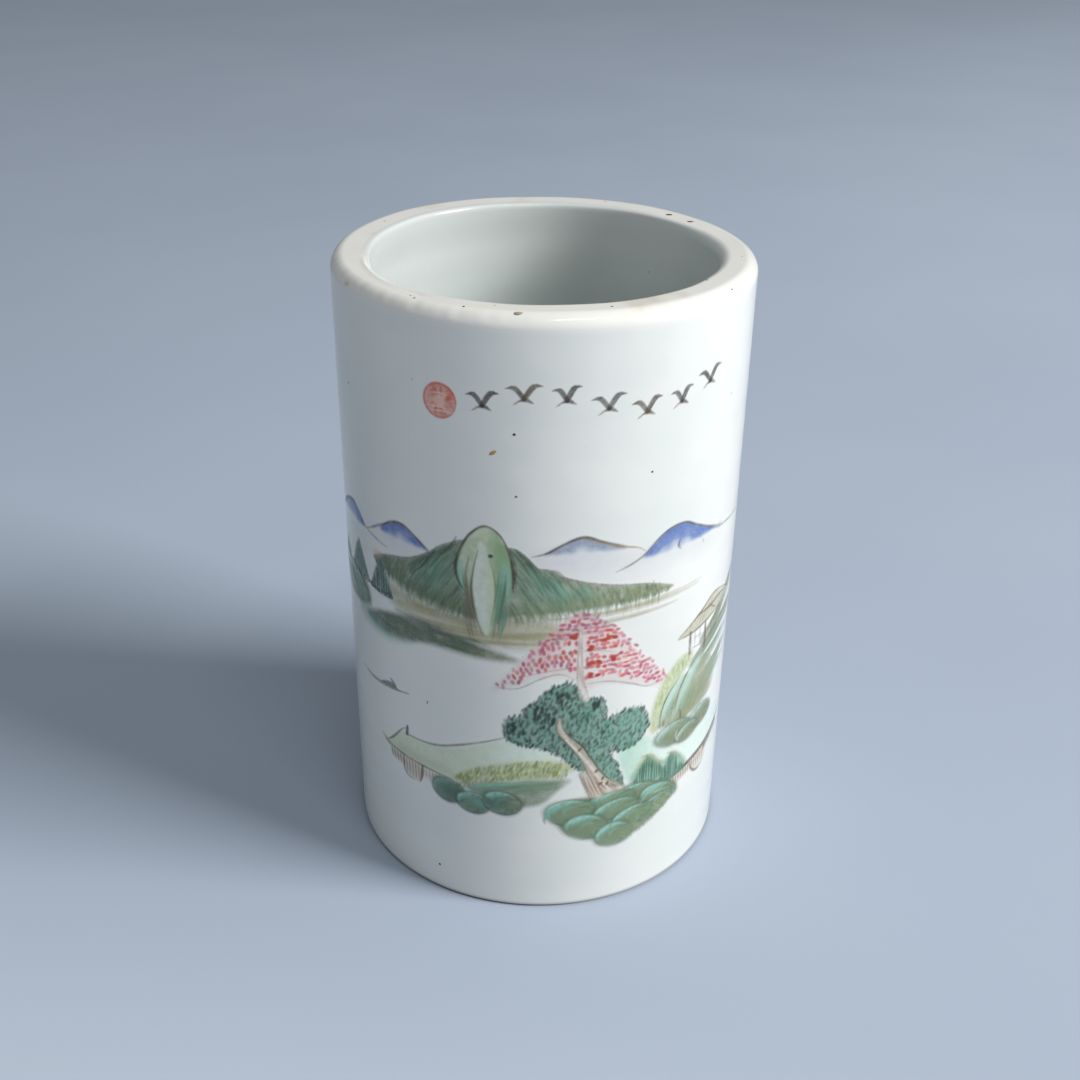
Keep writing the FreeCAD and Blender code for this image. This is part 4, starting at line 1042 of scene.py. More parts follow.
class Nodes:
    """A short way to build one material's node tree."""

    def __init__(self, name):
        self.material = bpy.data.materials.new(name)
        self.material.use_nodes = True
        self.tree = self.material.node_tree
        self.shader = self.tree.nodes["Principled BSDF"]
        coordinates = self.tree.nodes.new("ShaderNodeTexCoord")
        self.place = coordinates.outputs["Object"]

    def add(self, kind, **settings):
        node = self.tree.nodes.new(kind)
        for key, value in settings.items():
            setattr(node, key, value)
        return node

    def put(self, socket, value):
        if isinstance(value, bpy.types.NodeSocket):
            self.tree.links.new(value, socket)
        elif hasattr(socket.default_value, "__len__"):
            socket.default_value = (*value, 1.0)[: len(socket.default_value)]
        else:
            socket.default_value = value

    def noise(self, scale, detail=2.0, stretch=None):
        place = self.place
        if stretch is not None:
            mapping = self.add("ShaderNodeMapping")
            self.put(mapping.inputs["Vector"], place)
            mapping.inputs["Scale"].default_value = stretch
            place = mapping.outputs["Vector"]
        node = self.add("ShaderNodeTexNoise")
        self.put(node.inputs["Vector"], place)
        node.inputs["Scale"].default_value = scale
        node.inputs["Detail"].default_value = detail
        return node.outputs["Fac"]

    def spots(self, scale, size):
        """1 in the middle of scattered small spots, 0 elsewhere."""
        node = self.add("ShaderNodeTexVoronoi")
        self.put(node.inputs["Vector"], self.place)
        node.inputs["Scale"].default_value = scale
        return self.ramp(node.outputs["Distance"], size, size * 0.5)

    def ramp(self, value, low, high):
        """0 at low, 1 at high, and smooth between."""
        node = self.add("ShaderNodeMapRange", interpolation_type="SMOOTHSTEP")
        self.put(node.inputs["Value"], value)
        node.inputs["From Min"].default_value = low
        node.inputs["From Max"].default_value = high
        return node.outputs["Result"]

    def math(self, operation, a, b):
        node = self.add("ShaderNodeMath", operation=operation)
        self.put(node.inputs[0], a)
        self.put(node.inputs[1], b)
        return node.outputs[0]

    def mix(self, share, a, b):
        node = self.add("ShaderNodeMix", data_type="RGBA")
        self.put(node.inputs["Factor"], share)
        self.put(node.inputs["A"], a)
        self.put(node.inputs["B"], b)
        return node.outputs["Result"]

    def height(self):
        node = self.add("ShaderNodeSeparateXYZ")
        self.put(node.inputs["Vector"], self.place)
        return node.outputs["Z"]

    def radius(self):
        """Distance from the pot's axis."""
        flat = self.add("ShaderNodeVectorMath", operation="MULTIPLY")
        self.put(flat.inputs[0], self.place)
        flat.inputs[1].default_value = (1.0, 1.0, 0.0)
        length = self.add("ShaderNodeVectorMath", operation="LENGTH")
        self.put(length.inputs[0], flat.outputs["Vector"])
        return length.outputs["Value"]

    def attribute(self, name):
        return self.add("ShaderNodeAttribute", attribute_name=name)

    def scaled(self, vector, factor):
        node = self.add("ShaderNodeVectorMath", operation="SCALE")
        self.put(node.inputs[0], vector)
        self.put(node.inputs["Scale"], factor)
        return node.outputs["Vector"]

    def surface(self, colour, rough):
        """Connects the colour and the roughness, and gives the finished material."""
        self.put(self.shader.inputs["Base Color"], colour)
        self.put(self.shader.inputs["Roughness"], rough)
        return self.material

    def bump(self, height, strength, distance):
        node = self.add("ShaderNodeBump")
        node.inputs["Strength"].default_value = strength
        node.inputs["Distance"].default_value = distance
        self.put(node.inputs["Height"], height)
        self.put(self.shader.inputs["Normal"], node.outputs["Normal"])


def srgb(red, green, blue):
    return tuple(float(x) for x in linear(np.array([red, green, blue]) / 255))


GLAZE_WHITE = srgb(228, 229, 225)
GLAZE_COOL = srgb(219, 223, 219)
GLAZE_WARM = srgb(236, 235, 229)
GLAZE_CREAM = srgb(204, 190, 164)
# The inside colours are painted shade: the glaze made darker and greener down the bore.
GLAZE_INSIDE_SHADED = srgb(209, 214, 213)
GLAZE_DEEP_SHADE = srgb(188, 199, 196)
IRON_BROWN = srgb(96, 74, 50)
# A brown stain and painted contact shade along the glaze's lowest edge.
FOOT_STAIN_AND_SHADE = srgb(118, 110, 94)


def glaze_look(n):
    """The white glaze's colour, roughness and ripple: stained where it thins over the lip, darkened at its
    lowest edge by a brown stain and painted contact shade, and painted darker and greener down inside the
    bore as painted shade."""
    cloud = n.noise(38.0, 3.0)
    colour = n.mix(n.ramp(cloud, 0.35, 0.7), GLAZE_WHITE, GLAZE_COOL)
    at_lip = n.ramp(n.height(), (HEIGHT - 4.0) * MM, (HEIGHT - 1.0) * MM)
    colour = n.mix(at_lip, colour, GLAZE_WARM)
    stain = n.math("MULTIPLY", n.ramp(n.noise(85.0, 5.0), 0.56, 0.74), at_lip)
    colour = n.mix(n.math("MULTIPLY", stain, 0.5), colour, GLAZE_CREAM)
    # Painted contact shade, with a brown stain, darkens the glaze's lowest edge.
    stain_and_shade_at_foot = n.ramp(n.height(), 1.4 * MM, 0.3 * MM)
    colour = n.mix(n.math("MULTIPLY", stain_and_shade_at_foot, 0.6), colour, FOOT_STAIN_AND_SHADE)
    within = n.ramp(n.radius(), (BORE + 0.8 * LIP_INNER_ROUND) * MM, (BORE + 0.1) * MM)
    rings = n.noise(120.0, 2.0, stretch=(0.08, 0.08, 1.0))
    # Painted shade: inside the bore the glaze is painted darker and greener, more so further down.
    shade_down_the_bore = n.ramp(n.height(), (HEIGHT - 3) * MM, (HEIGHT - 45) * MM)
    shaded_inside_colour = n.mix(shade_down_the_bore, GLAZE_INSIDE_SHADED, GLAZE_DEEP_SHADE)
    shaded_inside_colour = n.mix(n.math("MULTIPLY", n.ramp(rings, 0.45, 0.75), 0.3), shaded_inside_colour, GLAZE_DEEP_SHADE)
    colour = n.mix(within, colour, shaded_inside_colour)
    freckle = n.math("MULTIPLY", n.spots(260.0, 0.075), n.ramp(n.noise(60.0), 0.6, 0.68))
    colour = n.mix(n.math("MULTIPLY", freckle, 0.4), colour, IRON_BROWN)
    rough = n.ramp(n.noise(90.0, 4.0), 0.2, 0.9)
    rough = n.math("ADD", n.math("MULTIPLY", rough, 0.1), 0.08)
    ripple = n.math("ADD", n.noise(230.0, 2.0), n.math("MULTIPLY", n.noise(55.0, 1.0), 1.6))
    ripple = n.math("ADD", ripple, n.math("MULTIPLY", n.math("MULTIPLY", rings, within), 1.5))
    return colour, rough, ripple


def glassy(n, colour, rough, ripple):
    """A glaze's shine over its faint ripple."""
    n.bump(ripple, 0.35, 0.00006)
    n.shader.inputs["IOR"].default_value = 1.5
    return n.surface(colour, rough)


def glaze_material():
    n = Nodes("clear_glaze_on_porcelain")
    return glassy(n, *glaze_look(n))


def enamel_material():
    """Paint over the glaze. The mesh carries the paint's own colour, already thinned by its cover."""
    n = Nodes("overglaze_enamel")
    colour, rough, ripple = glaze_look(n)
    paint = n.attribute("paint")
    grain = n.math("ADD", n.math("MULTIPLY", n.noise(900.0, 3.0), 0.24), 0.88)
    total = n.add("ShaderNodeVectorMath", operation="ADD")
    n.put(total.inputs[0], n.scaled(colour, n.math("SUBTRACT", 1.0, paint.outputs["Alpha"])))
    n.put(total.inputs[1], n.scaled(paint.outputs["Color"], grain))
    rough = n.math("ADD", rough, n.attribute("look").outputs["Fac"])
    return glassy(n, total.outputs["Vector"], rough, ripple)


def biscuit_material():
    n = Nodes("unglazed_foot")
    stain = n.ramp(n.noise(70.0, 5.0), 0.4, 0.72)
    colour = n.mix(stain, srgb(196, 178, 150), srgb(122, 98, 72))
    # Painted contact shade and grime: the lowest 1.2 mm of the foot is darker.
    low = n.ramp(n.height(), 0.0012, 0.0)
    colour = n.mix(n.math("MULTIPLY", low, 0.6), colour, srgb(92, 76, 60))
    n.bump(n.noise(1400.0, 5.0), 0.6, 0.0001)
    return n.surface(colour, n.math("ADD", n.math("MULTIPLY", stain, -0.15), 0.85))


def porcelain_material():
    n = Nodes("fired_porcelain_body")
    colour = n.mix(n.ramp(n.noise(160.0, 4.0), 0.3, 0.7), srgb(226, 222, 208), srgb(214, 208, 192))
    n.bump(n.noise(1500.0, 4.0), 0.4, 0.00005)
    return n.surface(colour, n.math("ADD", n.math("MULTIPLY", n.noise(500.0), 0.2), 0.55))


def speck_material():
    n = Nodes("iron_speck")
    tint = n.attribute("paint")
    shade = n.math("ADD", n.math("MULTIPLY", n.noise(2500.0, 3.0), 0.6), 0.7)
    n.bump(n.noise(1800.0, 3.0), 0.2, 0.00003)
    rough = n.math("ADD", n.math("MULTIPLY", n.noise(1200.0), 0.3), 0.25)
    return n.surface(n.scaled(tint.outputs["Color"], shade), rough)


# ---------------------------------------------------------------------------------------------------
# Meshes


def new_piece(name, points, faces, material, slot, *nodes):
    """A piece of the pot from points in millimetres. It rides on the pot and stands for CAD nodes."""
    mesh = bpy.data.meshes.new(name)
    mesh.vertices.add(len(points))
    mesh.vertices.foreach_set("co", (np.asarray(points) * MM).astype(np.float32).ravel())
    faces = np.asarray(faces, np.int32)
    mesh.loops.add(faces.size)
    mesh.loops.foreach_set("vertex_index", faces.ravel())
    mesh.polygons.add(len(faces))
    mesh.polygons.foreach_set("loop_start", np.arange(0, faces.size, 4, dtype=np.int32))
    mesh.update(calc_edges=True)
    mesh.validate()
    mesh.shade_smooth()
    mesh.materials.append(material)
    piece = bpy.data.objects.new(name, mesh)
    bpy.context.scene.collection.objects.link(piece)
    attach(piece, "root")
    if nodes:
        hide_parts(*nodes)
    return piece


def add_attribute(piece, name, kind, key, values):
    attribute = piece.data.attributes.new(name, kind, "POINT")
    attribute.data.foreach_set(key, values.astype(np.float32).ravel())


def new_turned_piece(name, profile, shift, material, slot, node):
    """A piece turned about the pot's axis. Points that meet on the axis become one."""
    points, faces = turned(profile, shift)
    piece = new_piece(name, points, faces, material, slot, node)
    shape = bmesh.new()
    shape.from_mesh(piece.data)
    bmesh.ops.remove_doubles(shape, verts=shape.verts, dist=1e-7)
    loose = [edge for edge in shape.edges if not edge.link_faces]
    bmesh.ops.delete(shape, geom=loose, context="EDGES")
    shape.to_mesh(piece.data)
    shape.free()
    piece.data.set_sharp_from_angle(angle=math.radians(50))
    return piece


def arc(centre, radius, start, end, count):
    """Points (radius, height) on an arc, with angles in degrees from outwards."""
    a = np.radians(np.linspace(start, end, count))
    return np.stack([centre[0] + radius * np.cos(a), centre[1] + radius * np.sin(a)], 1)


def run(start, end, count):
    t = np.linspace(0, 1, count)[:, None]
    return np.asarray(start, float) * (1 - t) + np.asarray(end, float) * t


def turned(profile, shift, count=360):
    """Points and faces of a closed profile of (radius, height) turned about the axis."""
    angle = np.linspace(0, 2 * math.pi, count, endpoint=False)
    a, radius = np.meshgrid(angle, profile[:, 0])
    _, up = np.meshgrid(angle, profile[:, 1])
    radius, up = shift(a, radius, up)
    points = np.stack([radius * np.sin(a), -radius * np.cos(a), up], -1).reshape(-1, 3)
    rows = len(profile)
    i, j = np.meshgrid(np.arange(rows), np.arange(count), indexing="ij")
    up_row, next_col = (i + 1) % rows, (j + 1) % count
    corners = ((i, j), (i, next_col), (up_row, next_col), (up_row, j))
    faces = np.stack([row * count + col for row, col in corners], -1)
    return points, faces.reshape(-1, 4)


def crisp_edge(a):
    """1 where the mouth's inner edge is crisp, at the back and the left, and 0 where it is well rounded."""
    return smoothstep(np.cos(a - math.radians(202)), -0.02, 0.4)


def glaze_ridge(a, radius):
    """A low step and ridge on the front left of the lip, where the glaze gathered."""
    degrees = np.degrees((a + math.pi) % (2 * math.pi) - math.pi)
    along = np.clip((degrees + 76) / 40, 0, 1)
    path = BORE + WALL_THICKNESS * (0.16 + 0.3 * along)
    strength = smoothstep(degrees, -78, -70) * smoothstep(degrees, -30, -46)
    beside = (radius - path) / (0.07 * WALL_THICKNESS)
    return strength * (0.16 * np.exp(-(beside**2)) - 0.3 * smoothstep(beside, 0.4, -1.0))


def uneven(a, radius, up):
    """The potter's unevenness: the wall's own, and a livelier one at the lip and inside."""
    inward = np.clip((BORE + LIP_INNER_ROUND - radius) / LIP_INNER_ROUND, 0, 1)
    above = np.clip((up - HEIGHT + LIP_INNER_ROUND) / LIP_INNER_ROUND, 0, 1)
    on_edge = (inward > 0) & (above > 0) & (inward**2 + above**2 > 0.98)
    power = 1 / (1 + 1.5 * crisp_edge(a))
    radius = np.where(on_edge, BORE + LIP_INNER_ROUND * (1 - inward**power), radius)
    up = np.where(on_edge, HEIGHT + LIP_INNER_ROUND * (above**power - 1), up)
    outside = smoothstep(radius, BORE + 0.5 * WALL_THICKNESS, BORE + 0.8 * WALL_THICKNESS)
    near_lip = smoothstep(up, HEIGHT - 9, HEIGHT - 1)
    bore_wave = 0.16 * np.sin(2 * a - 0.5) + 0.1 * np.sin(3 * a + 0.06 * up) + 0.03 * np.sin(up * 0.8 + a)
    mouth = 0.15 - 0.6 * smoothstep(np.cos(a - math.radians(195)), -0.2, 0.9) + 0.05 * np.sin(5 * a + 0.4)
    shift = outside * wall_wobble(a, up) + (1 - outside) * ((1 - near_lip) * bore_wave + near_lip * mouth)
    worn = smoothstep(up, HEIGHT - 2.2, HEIGHT - 1.0) * outside * smoothstep(np.cos(a + math.radians(48)),
            0.6, 0.95)
    rough = 0.03 * np.sin(31 * a) + 0.03 * np.sin(53 * a + 1) + 0.03 * np.sin(87 * a + 2)
    rise = near_lip * (0.1 * np.sin(2 * a + 0.7) + 0.05 * np.sin(5 * a + 1.0) + 0.025 * np.sin(13 * a))
    return radius + shift - worn * (0.06 + rough), up + rise + near_lip * glaze_ridge(a, radius)


def outer_glaze():
    low = wall_radius(0, GLAZE_LINE) - wall_wobble(0, GLAZE_LINE)
    top = LIP_RADIUS - LEAN * LIP_OUTER_ROUND
    profile = np.vstack([
        arc((low - COAT * 0.6, GLAZE_LINE + COAT * 0.6), COAT * 0.6, -90, -10, 6),
        run((low, GLAZE_LINE + 1.0), (top, HEIGHT - LIP_OUTER_ROUND), 120),
        arc((top - LIP_OUTER_ROUND, HEIGHT - LIP_OUTER_ROUND), LIP_OUTER_ROUND, 3, 88, 22),
        run((top - LIP_OUTER_ROUND - 0.2, HEIGHT), (BORE + LIP_INNER_ROUND + 0.2, HEIGHT), 10),
        arc((BORE + LIP_INNER_ROUND, HEIGHT - LIP_INNER_ROUND), LIP_INNER_ROUND, 90, 179, 24),
        run((BORE, HEIGHT - LIP_INNER_ROUND - 0.2), (BORE, GLAZE_JOIN), 6),
        run((BORE + COAT, GLAZE_JOIN), (BORE + COAT, HEIGHT - LIP_INNER_ROUND), 4),
        run((BORE + LIP_INNER_ROUND, HEIGHT - COAT), (top - LIP_OUTER_ROUND, HEIGHT - COAT), 4),
        run((top - COAT, HEIGHT - LIP_OUTER_ROUND), (low - COAT, GLAZE_LINE + 1.0), 20),
    ])
    return new_turned_piece("outer_glaze_coat", profile, uneven, GLAZE, "clear_glaze", "outer_glaze")


def inner_glaze():
    pool = 3.2
    profile = np.vstack([
        run((BORE, GLAZE_JOIN), (BORE, FLOOR + pool), 90),
        arc((BORE - pool, FLOOR + pool), pool, 0, -90, 14),
        run((BORE - pool - 0.8, FLOOR), (0.0, FLOOR + 0.3), 24),
        run((0.0, FLOOR - COAT), (BORE + COAT, FLOOR - COAT), 6),
        run((BORE + COAT, FLOOR), (BORE + COAT, GLAZE_JOIN), 12),
    ])
    return new_turned_piece("inner_glaze_coat", profile, uneven, GLAZE, "clear_glaze", "inner_glaze")


def foot_shape(a, radius, up):
    """A foot ground flat on the wheel, a little worn and nicked around its edge."""
    edge = smoothstep(up, 1.0, 0.1) * smoothstep(radius, FOOT_BORE + 4, FOOT_RADIUS)
    nick = -0.06 + 0.03 * np.sin(7 * a) + 0.03 * np.sin(17 * a + 1) + 0.02 * np.sin(41 * a)
    return radius + edge * nick, up


def foot():
    bevel = FOOT_RADIUS - 0.02
    profile = np.vstack([
        run((FOOT_BORE, FOOT_HEIGHT), (FOOT_BORE, 0.6), 5),
        arc((FOOT_BORE + 0.5, 0.5), 0.5, 180, 270, 6),
        run((FOOT_BORE + 1.2, 0.0), (bevel - FOOT_EDGE * 1.6, 0.0), 10),
        arc((bevel - FOOT_EDGE, FOOT_EDGE), FOOT_EDGE, -80, 0, 6),
        run((bevel, FOOT_EDGE * 1.5), (FOOT_RADIUS, FOOT_HEIGHT), 4),
    ])
    return new_turned_piece("foot_ring_biscuit", profile, foot_shape, BISCUIT, "foot_biscuit", "foot_ring")


def base_glaze():
    under = cad_low("base_glaze")[2]

    def sag(a, radius, up):
        wave = 0.05 * np.sin(3 * a) * radius / FOOT_BORE
        return radius, up + np.where(up < FOOT_HEIGHT - 0.1, wave, 0)

    profile = np.vstack([
        run((0.0, under), (FOOT_BORE - 1.2, under), 26),
        arc((FOOT_BORE - 1.0, under - 1.0), 1.02, 88, 5, 7),
        run((FOOT_BORE + 0.05, under - 1.0), (FOOT_BORE + 0.05, FOOT_HEIGHT), 3),
        run((FOOT_BORE - 1, FOOT_HEIGHT), (0.0, FOOT_HEIGHT), 6),
    ])
    return new_turned_piece("base_glaze_coat", profile, sag, GLAZE, "clear_glaze", "base_glaze")


# Each painted group becomes a thin closed skin, as fine as the brush work. Its cells come in blocks of
# two by two, and its top and its underside meet along the edge of the outermost blocks.

CELL = 0.16
SUNK = -0.07
EDGE_LIFT = -0.01
COAT_LIFT = 0.012
RELIEF_MAX = 0.07


def sample(field, along, up):
    """A canvas array's values at places on the wall."""
    x = np.clip((along - ALONG_MIN) * PIXELS_PER_MM - 0.5, 0, field.shape[1] - 1.001)
    y = np.clip((up - UP_MIN) * PIXELS_PER_MM - 0.5, 0, field.shape[0] - 1.001)
    c, r = x.astype(int), y.astype(int)
    fx, fy = x - c, y - r
    if field.ndim == 3:
        fx, fy = fx[..., None], fy[..., None]
    top = field[r, c] * (1 - fx) + field[r, c + 1] * fx
    bottom = field[r + 1, c] * (1 - fx) + field[r + 1, c + 1] * fx
    return top * (1 - fy) + bottom * fy


def painted_fields():
    """Cover, colour, gloss and lift over the whole canvas, ready to be sampled."""
    cover = canvas.cover
    colour = linear(canvas.ink / np.maximum(cover, 1e-4)[..., None]) * cover[..., None]
    relief = soften(np.minimum(canvas.relief, RELIEF_MAX), 1.5)
    lift = EDGE_LIFT + (relief + COAT_LIFT - EDGE_LIFT) * smoothstep(cover, 0.01, 0.12)
    return cover, colour, canvas.matt, lift


def cell_owners(along, up):
    """The painted group that each cell belongs to, 0 for bare glaze. Cells of one block always agree."""
    corner_along, corner_up = np.meshgrid(along[:-1:2] + CELL, up[:-1:2] + CELL)
    share = []
    for number in range(len(canvas.groups) + 1):
        share.append(sample(box_blur((canvas.owner == number) * 1.0, 2), corner_along, corner_up))
    share[0] = np.zeros(corner_along.shape)
    owner = np.argmax(share, axis=0)
    owner[sample(box_blur(canvas.cover, 3), corner_along, corner_up) < 0.003] = 0
    return np.repeat(np.repeat(owner, 2, axis=0), 2, axis=1)


def touched(chosen, rule):
    """For every grid corner, whether any (or all) of the cells around it are chosen."""
    padded = np.pad(chosen, 1)
    return rule([padded[:-1, :-1], padded[:-1, 1:], padded[1:, :-1], padded[1:, 1:]], axis=0)


def skin_faces(chosen, top_number, under_number):
    """The chosen cells' top and underside faces, from each grid corner's point numbers."""
    rows, cols = np.nonzero(chosen)
    top, under = (
        np.stack([n[rows, cols], n[rows, cols + 1], n[rows + 1, cols + 1], n[rows + 1, cols]], 1)
        for n in (top_number, under_number)
    )
    return np.vstack([top, under[:, ::-1]])


def painted_skins(material, slots):
    cover, colour, matt, lift = painted_fields()
    along = np.arange(ALONG_MIN, ALONG_MAX, CELL)
    up = np.arange(UP_MIN, UP_MAX, CELL)
    along, up = along[: len(along) // 2 * 2 - 1], up[: len(up) // 2 * 2 - 1]
    grid_along, grid_up = np.meshgrid(along, up)
    heights = sample(lift, grid_along, grid_up)
    surface = wall_point(grid_along, grid_up, heights)
    under = wall_point(grid_along, grid_up, SUNK)
    normals = np.cross(np.gradient(surface, axis=1), np.gradient(surface, axis=0))
    normals /= np.linalg.norm(normals, axis=-1, keepdims=True)
    paint = np.concatenate([sample(colour, grid_along, grid_up),
                            sample(cover, grid_along, grid_up)[..., None]], -1)
    gloss = sample(matt, grid_along, grid_up)
    owner = cell_owners(along, up)
    for number, node in enumerate(canvas.groups, start=1):
        chosen = owner == number
        used, within = touched(chosen, np.any), touched(chosen, np.all)
        top_number = np.cumsum(used.ravel()).reshape(used.shape) - 1
        count = int(used.sum())
        sunk_number = np.cumsum(within.ravel()).reshape(used.shape) - 1 + count
        faces = skin_faces(chosen, top_number, np.where(within, sunk_number, top_number))
        points = np.vstack([surface[used], under[within]])
        piece = new_piece(node + "_enamel", points, faces, material, slots[node], node)
        add_attribute(piece, "paint", "FLOAT_COLOR", "color", np.vstack([paint[used], paint[within]]))
        add_attribute(piece, "look", "FLOAT", "value", np.concatenate([gloss[used], gloss[within]]))
        piece.data.normals_split_custom_set_from_vertices(np.vstack([normals[used], -normals[within]]))


# Flaws in the glaze: iron specks, burst bubbles and kiln dust. On the wall they are given as (along, up,
# length, width, tilt, colour), and on the lip as (angle in degrees, share of the way inwards, size,
# colour).

PEBBLE_SIDES, PEBBLE_ROWS = 10, 6

WALL_FLAWS = (
    (-4.8, 108.0, 0.6, 0.5, 0.2, (54, 48, 40)), (-8.6, 104.2, 1.6, 0.7, 0.6, (176, 142, 86)),
    (20.8, 99.0, 0.5, 0.45, 0.0, (60, 62, 56)), (-4.4, 96.0, 0.5, 0.45, 0.4, (96, 100, 96)),
    (-21.6, 6.4, 0.6, 0.55, 0.1, (58, 54, 46)), (-44.8, 108.6, 0.4, 0.4, 0.0, (120, 118, 108)),
    (-23.4, 47.2, 0.9, 0.3, 1.2, (134, 138, 132)), (42.2, 108.4, 0.6, 0.5, 0.3, (196, 196, 190)),
    (96.0, 70.0, 0.5, 0.4, 0.0, (70, 62, 50)), (-104.0, 41.0, 0.6, 0.45, 0.5, (88, 74, 54)),
    (118.0, 98.0, 0.4, 0.4, 0.0, (104, 98, 84)), (-88.0, 92.0, 0.5, 0.4, 0.9, (120, 96, 62)),
)
LIP_FLAWS = ((-35, 0.3, 0.5, (72, 60, 44)), (-37, 0.38, 0.4, (96, 82, 58)),
             (-20.4, 0.3, 0.55, (62, 50, 38)), (-22, 0.93, 0.45, (110, 84, 52)),
             (18, 0.5, 0.55, (66, 54, 40)), (56, 0.76, 0.5, (64, 52, 38)), (56, 0.1, 0.7, (178, 140, 82)),
             (134.6, 0.57, 1.6, (92, 66, 42)), (124.3, 0.61, 1.5, (100, 76, 50)),
             (-6, 0.24, 1.7, (178, 170, 138)), (-60.5, 0.06, 1.4, (176, 150, 122)),
             (-13, 0.6, 0.35, (150, 140, 110)), (160, 0.4, 0.45, (120, 104, 78)),
             (-118, 0.5, 0.5, (124, 104, 70)), (83, 0.45, 0.35, (140, 120, 90)))


def lip_height(radius):
    """How high the lip's rounded top stands at a radius."""
    outward = np.clip((radius - LIP_RADIUS + LIP_OUTER_ROUND) / LIP_OUTER_ROUND, 0, 1)
    inward = np.clip((BORE + LIP_INNER_ROUND - radius) / LIP_INNER_ROUND, 0, 1)
    outer_drop = LIP_OUTER_ROUND * (1 - math.sqrt(1 - outward**2))
    inner_drop = LIP_INNER_ROUND * (1 - math.sqrt(1 - inward**2))
    return HEIGHT - (outer_drop + inner_drop)


def pebble(centre, out, aside, long, wide, deep):
    """Points of a small oval lump that stands on a surface whose direction is out."""
    over = np.cross(out, aside)
    around = np.linspace(0, 2 * math.pi, PEBBLE_SIDES, endpoint=False)
    a, b = np.meshgrid(around, np.linspace(-1.2, 1.45, PEBBLE_ROWS))
    radius = np.cos(b)
    return (
        centre
        + (long * np.cos(a) * radius)[..., None] * aside
        + (wide * np.sin(a) * radius)[..., None] * over
        + (deep * np.sin(b))[..., None] * out
    ).reshape(-1, 3)


def wall_flaw(along, up, long, wide, tilt):
    angle = along / LIP_RADIUS
    out = np.array([math.sin(angle), -math.cos(angle), 0])
    across = np.array([math.cos(angle), math.sin(angle), 0])
    aside = across * math.cos(tilt) + np.array([0, 0, 1.0]) * math.sin(tilt)
    return pebble(wall_point(along, up, 0.0), out, aside, long / 2, wide / 2, 0.07)


def lip_flaw(degrees, inwards, spot):
    angle = math.radians(degrees)
    radius = LIP_RADIUS - inwards * WALL_THICKNESS
    moved, rim = uneven(np.array(angle), np.array(radius), np.array(lip_height(radius)))
    centre = np.array([moved * math.sin(angle), -moved * math.cos(angle), float(rim) - 0.03])
    return pebble(centre, np.array([0, 0, 1.0]), np.array([1.0, 0, 0]), spot / 2, spot * 0.4, 0.1)


def pebble_faces(first):
    """The faces of one pebble whose points start at this number."""
    for i in range(PEBBLE_ROWS - 1):
        for j in range(PEBBLE_SIDES):
            a = first + i * PEBBLE_SIDES + j
            b = first + i * PEBBLE_SIDES + (j + 1) % PEBBLE_SIDES
            yield (a, b, b + PEBBLE_SIDES, a + PEBBLE_SIDES)


def flaws():
    lumps = [wall_flaw(*flaw[:-1]) for flaw in WALL_FLAWS] + [lip_flaw(*flaw[:-1]) for flaw in LIP_FLAWS]
    count = PEBBLE_SIDES * PEBBLE_ROWS
    faces = [face for k in range(len(lumps)) for face in pebble_faces(k * count)]
    piece = new_piece("glaze_flaws", np.vstack(lumps), faces, SPECK, "brown_ink")
    tints = np.array([flaw[-1] for flaw in WALL_FLAWS + LIP_FLAWS]) / 255
    colour = linear(np.repeat(tints, count, axis=0))
    add_attribute(piece, "paint", "FLOAT_COLOR", "color", np.hstack([colour, np.ones((len(colour), 1))]))


GLAZE = glaze_material()
ENAMEL = enamel_material()
BISCUIT = biscuit_material()
PORCELAIN = porcelain_material()
SPECK = speck_material()

NODE_SLOTS = {part["node"]: part["material_slot"] for part in frame["record"]["subparts"]}

for name in ("cylinder_wall", "floor_disc"):
    clay = frame["nodes"][name].data
    clay.materials.clear()
    clay.materials.append(PORCELAIN)

outer_glaze()
inner_glaze()
foot()
base_glaze()
painted_skins(ENAMEL, NODE_SLOTS)
flaws()

# ---------------------------------------------------------------------------------------------------
# Floor, light and camera


def floor_material():
    n = Nodes("pale_floor")
    colour = n.mix(n.ramp(n.noise(6.0, 3.0), 0.3, 0.7), srgb(170, 182, 200), srgb(174, 186, 203))
    parts = n.add("ShaderNodeSeparateXYZ")
    n.put(parts.inputs["Vector"], n.place)
    across, deep = parts.outputs["X"], parts.outputs["Y"]
    # Painted light and shade on the floor: lighter towards the front left, darker towards the back left.
    painted_light_front_left = n.ramp(n.math("ADD", deep, n.math("MULTIPLY", across, 0.3)), -0.05, -0.13)
    colour = n.mix(n.math("MULTIPLY", painted_light_front_left, 0.6), colour, srgb(198, 208, 224))
    painted_shade_back_left = n.ramp(n.math("SUBTRACT", deep, n.math("MULTIPLY", across, 1.5)), 0.3, 0.9)
    colour = n.mix(n.math("MULTIPLY", painted_shade_back_left, 0.2), colour, srgb(142, 153, 172))
    return n.surface(colour, 0.75)


def make_floor():
    reach = 3.0
    corners = [(-reach, -reach, 0), (reach, -reach, 0), (reach, reach, 0), (-reach, reach, 0)]
    mesh = bpy.data.meshes.new("floor")
    mesh.from_pydata(corners, [], [(0, 1, 2, 3)])
    mesh.materials.append(floor_material())
    floor = bpy.data.objects.new("floor", mesh)
    bpy.context.scene.collection.objects.link(floor)


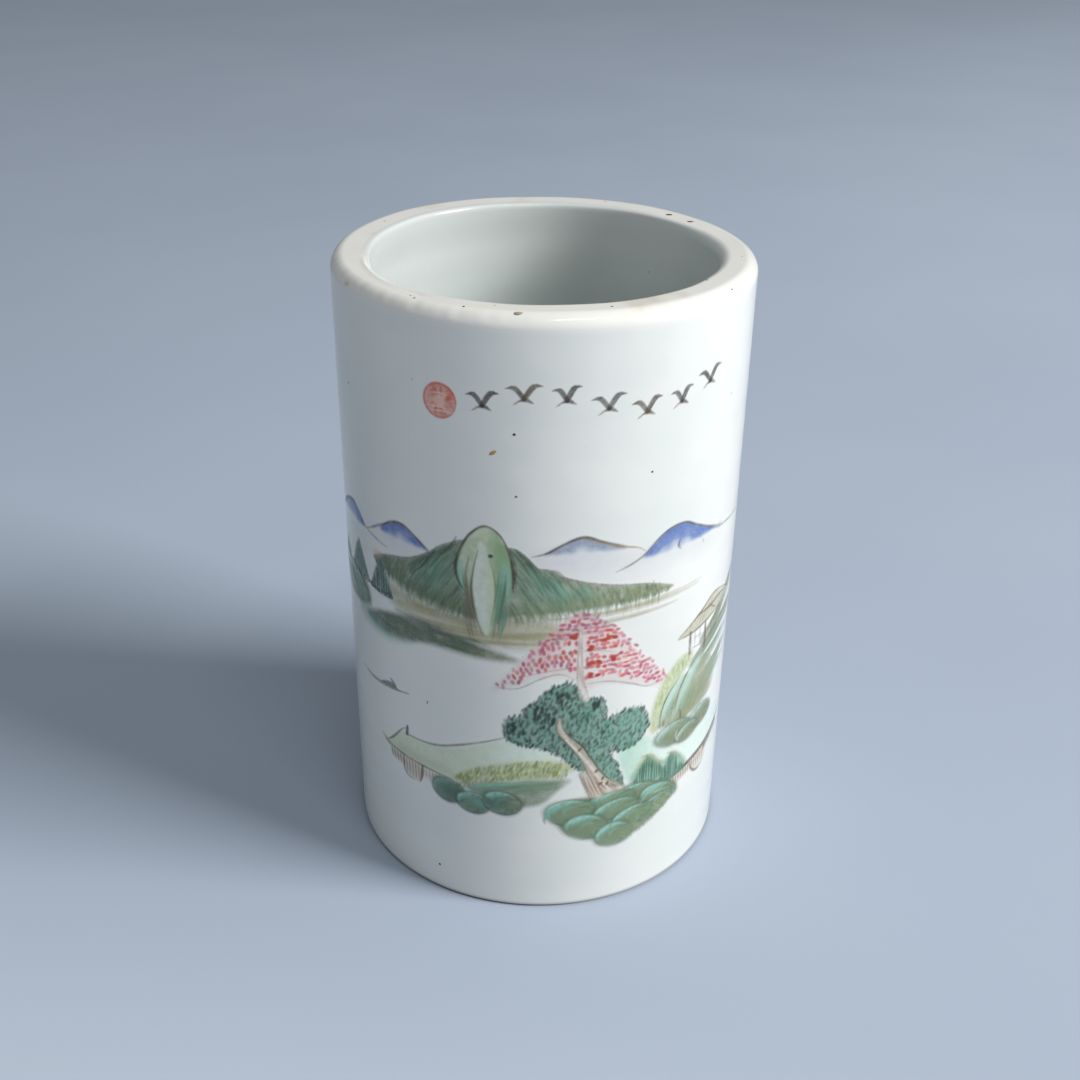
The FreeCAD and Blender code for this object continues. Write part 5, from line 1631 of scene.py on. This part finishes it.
def soft_light(name, azimuth, elevation, distance, size, power, colour):
    """A rectangular light that faces the pot, in degrees, metres and watts. Azimuth turns from the front
    towards +X."""
    target = Vector((0, 0, HEIGHT * MM / 2))
    a, e = math.radians(azimuth), math.radians(elevation)
    away = Vector((math.sin(a) * math.cos(e), -math.cos(a) * math.cos(e), math.sin(e)))
    light = bpy.data.lights.new(name, "AREA")
    light.shape = "RECTANGLE"
    light.size, light.size_y = size
    light.energy = power
    light.color = colour
    lamp = bpy.data.objects.new(name, light)
    lamp.location = target + away * distance
    lamp.rotation_euler = away.to_track_quat("Z", "Y").to_euler()
    bpy.context.scene.collection.objects.link(lamp)


def make_light():
    soft_light("key", 72, 33, 2.6, (1.0, 1.15), 78.0, (1.0, 0.985, 0.965))
    soft_light("window", 24, 62, 1.6, (0.5, 0.16), 3.0, (1.0, 1.0, 1.0))
    world = bpy.data.worlds.new("room")
    world.use_nodes = True
    sky = world.node_tree.nodes["Background"]
    sky.inputs["Color"].default_value = (0.9, 0.96, 0.99, 1.0)
    sky.inputs["Strength"].default_value = 0.275
    bpy.context.scene.world = world


def make_camera():
    """Seen from the front and above. The eye is placed in lip radii, and turned in degrees."""
    back, up = 6.306, 4.960
    pitch, roll, yaw = 28.02, 0.75, -0.02
    focal_share = 1.2676
    data = bpy.data.cameras.new("camera")
    data.sensor_width = 36.0
    data.lens = data.sensor_width * focal_share
    data.clip_start = 0.01
    camera = bpy.data.objects.new("camera", data)
    p, r, y = math.radians(pitch), math.radians(roll), math.radians(yaw)
    ahead = Vector((math.sin(y) * math.cos(p), math.cos(y) * math.cos(p), -math.sin(p)))
    right = Vector((math.cos(y), -math.sin(y), 0))
    over = right.cross(ahead)
    right, over = right * math.cos(r) + over * math.sin(r), over * math.cos(r) - right * math.sin(r)
    turn = Matrix((right, over, -ahead)).transposed()
    camera.matrix_world = Matrix.Translation(Vector((0, -back, up)) * LIP_RADIUS * MM) @ turn.to_4x4()
    bpy.context.scene.collection.objects.link(camera)
    bpy.context.scene.camera = camera


make_floor()
make_light()
make_camera()
bpy.context.scene.view_settings.view_transform = "Standard"
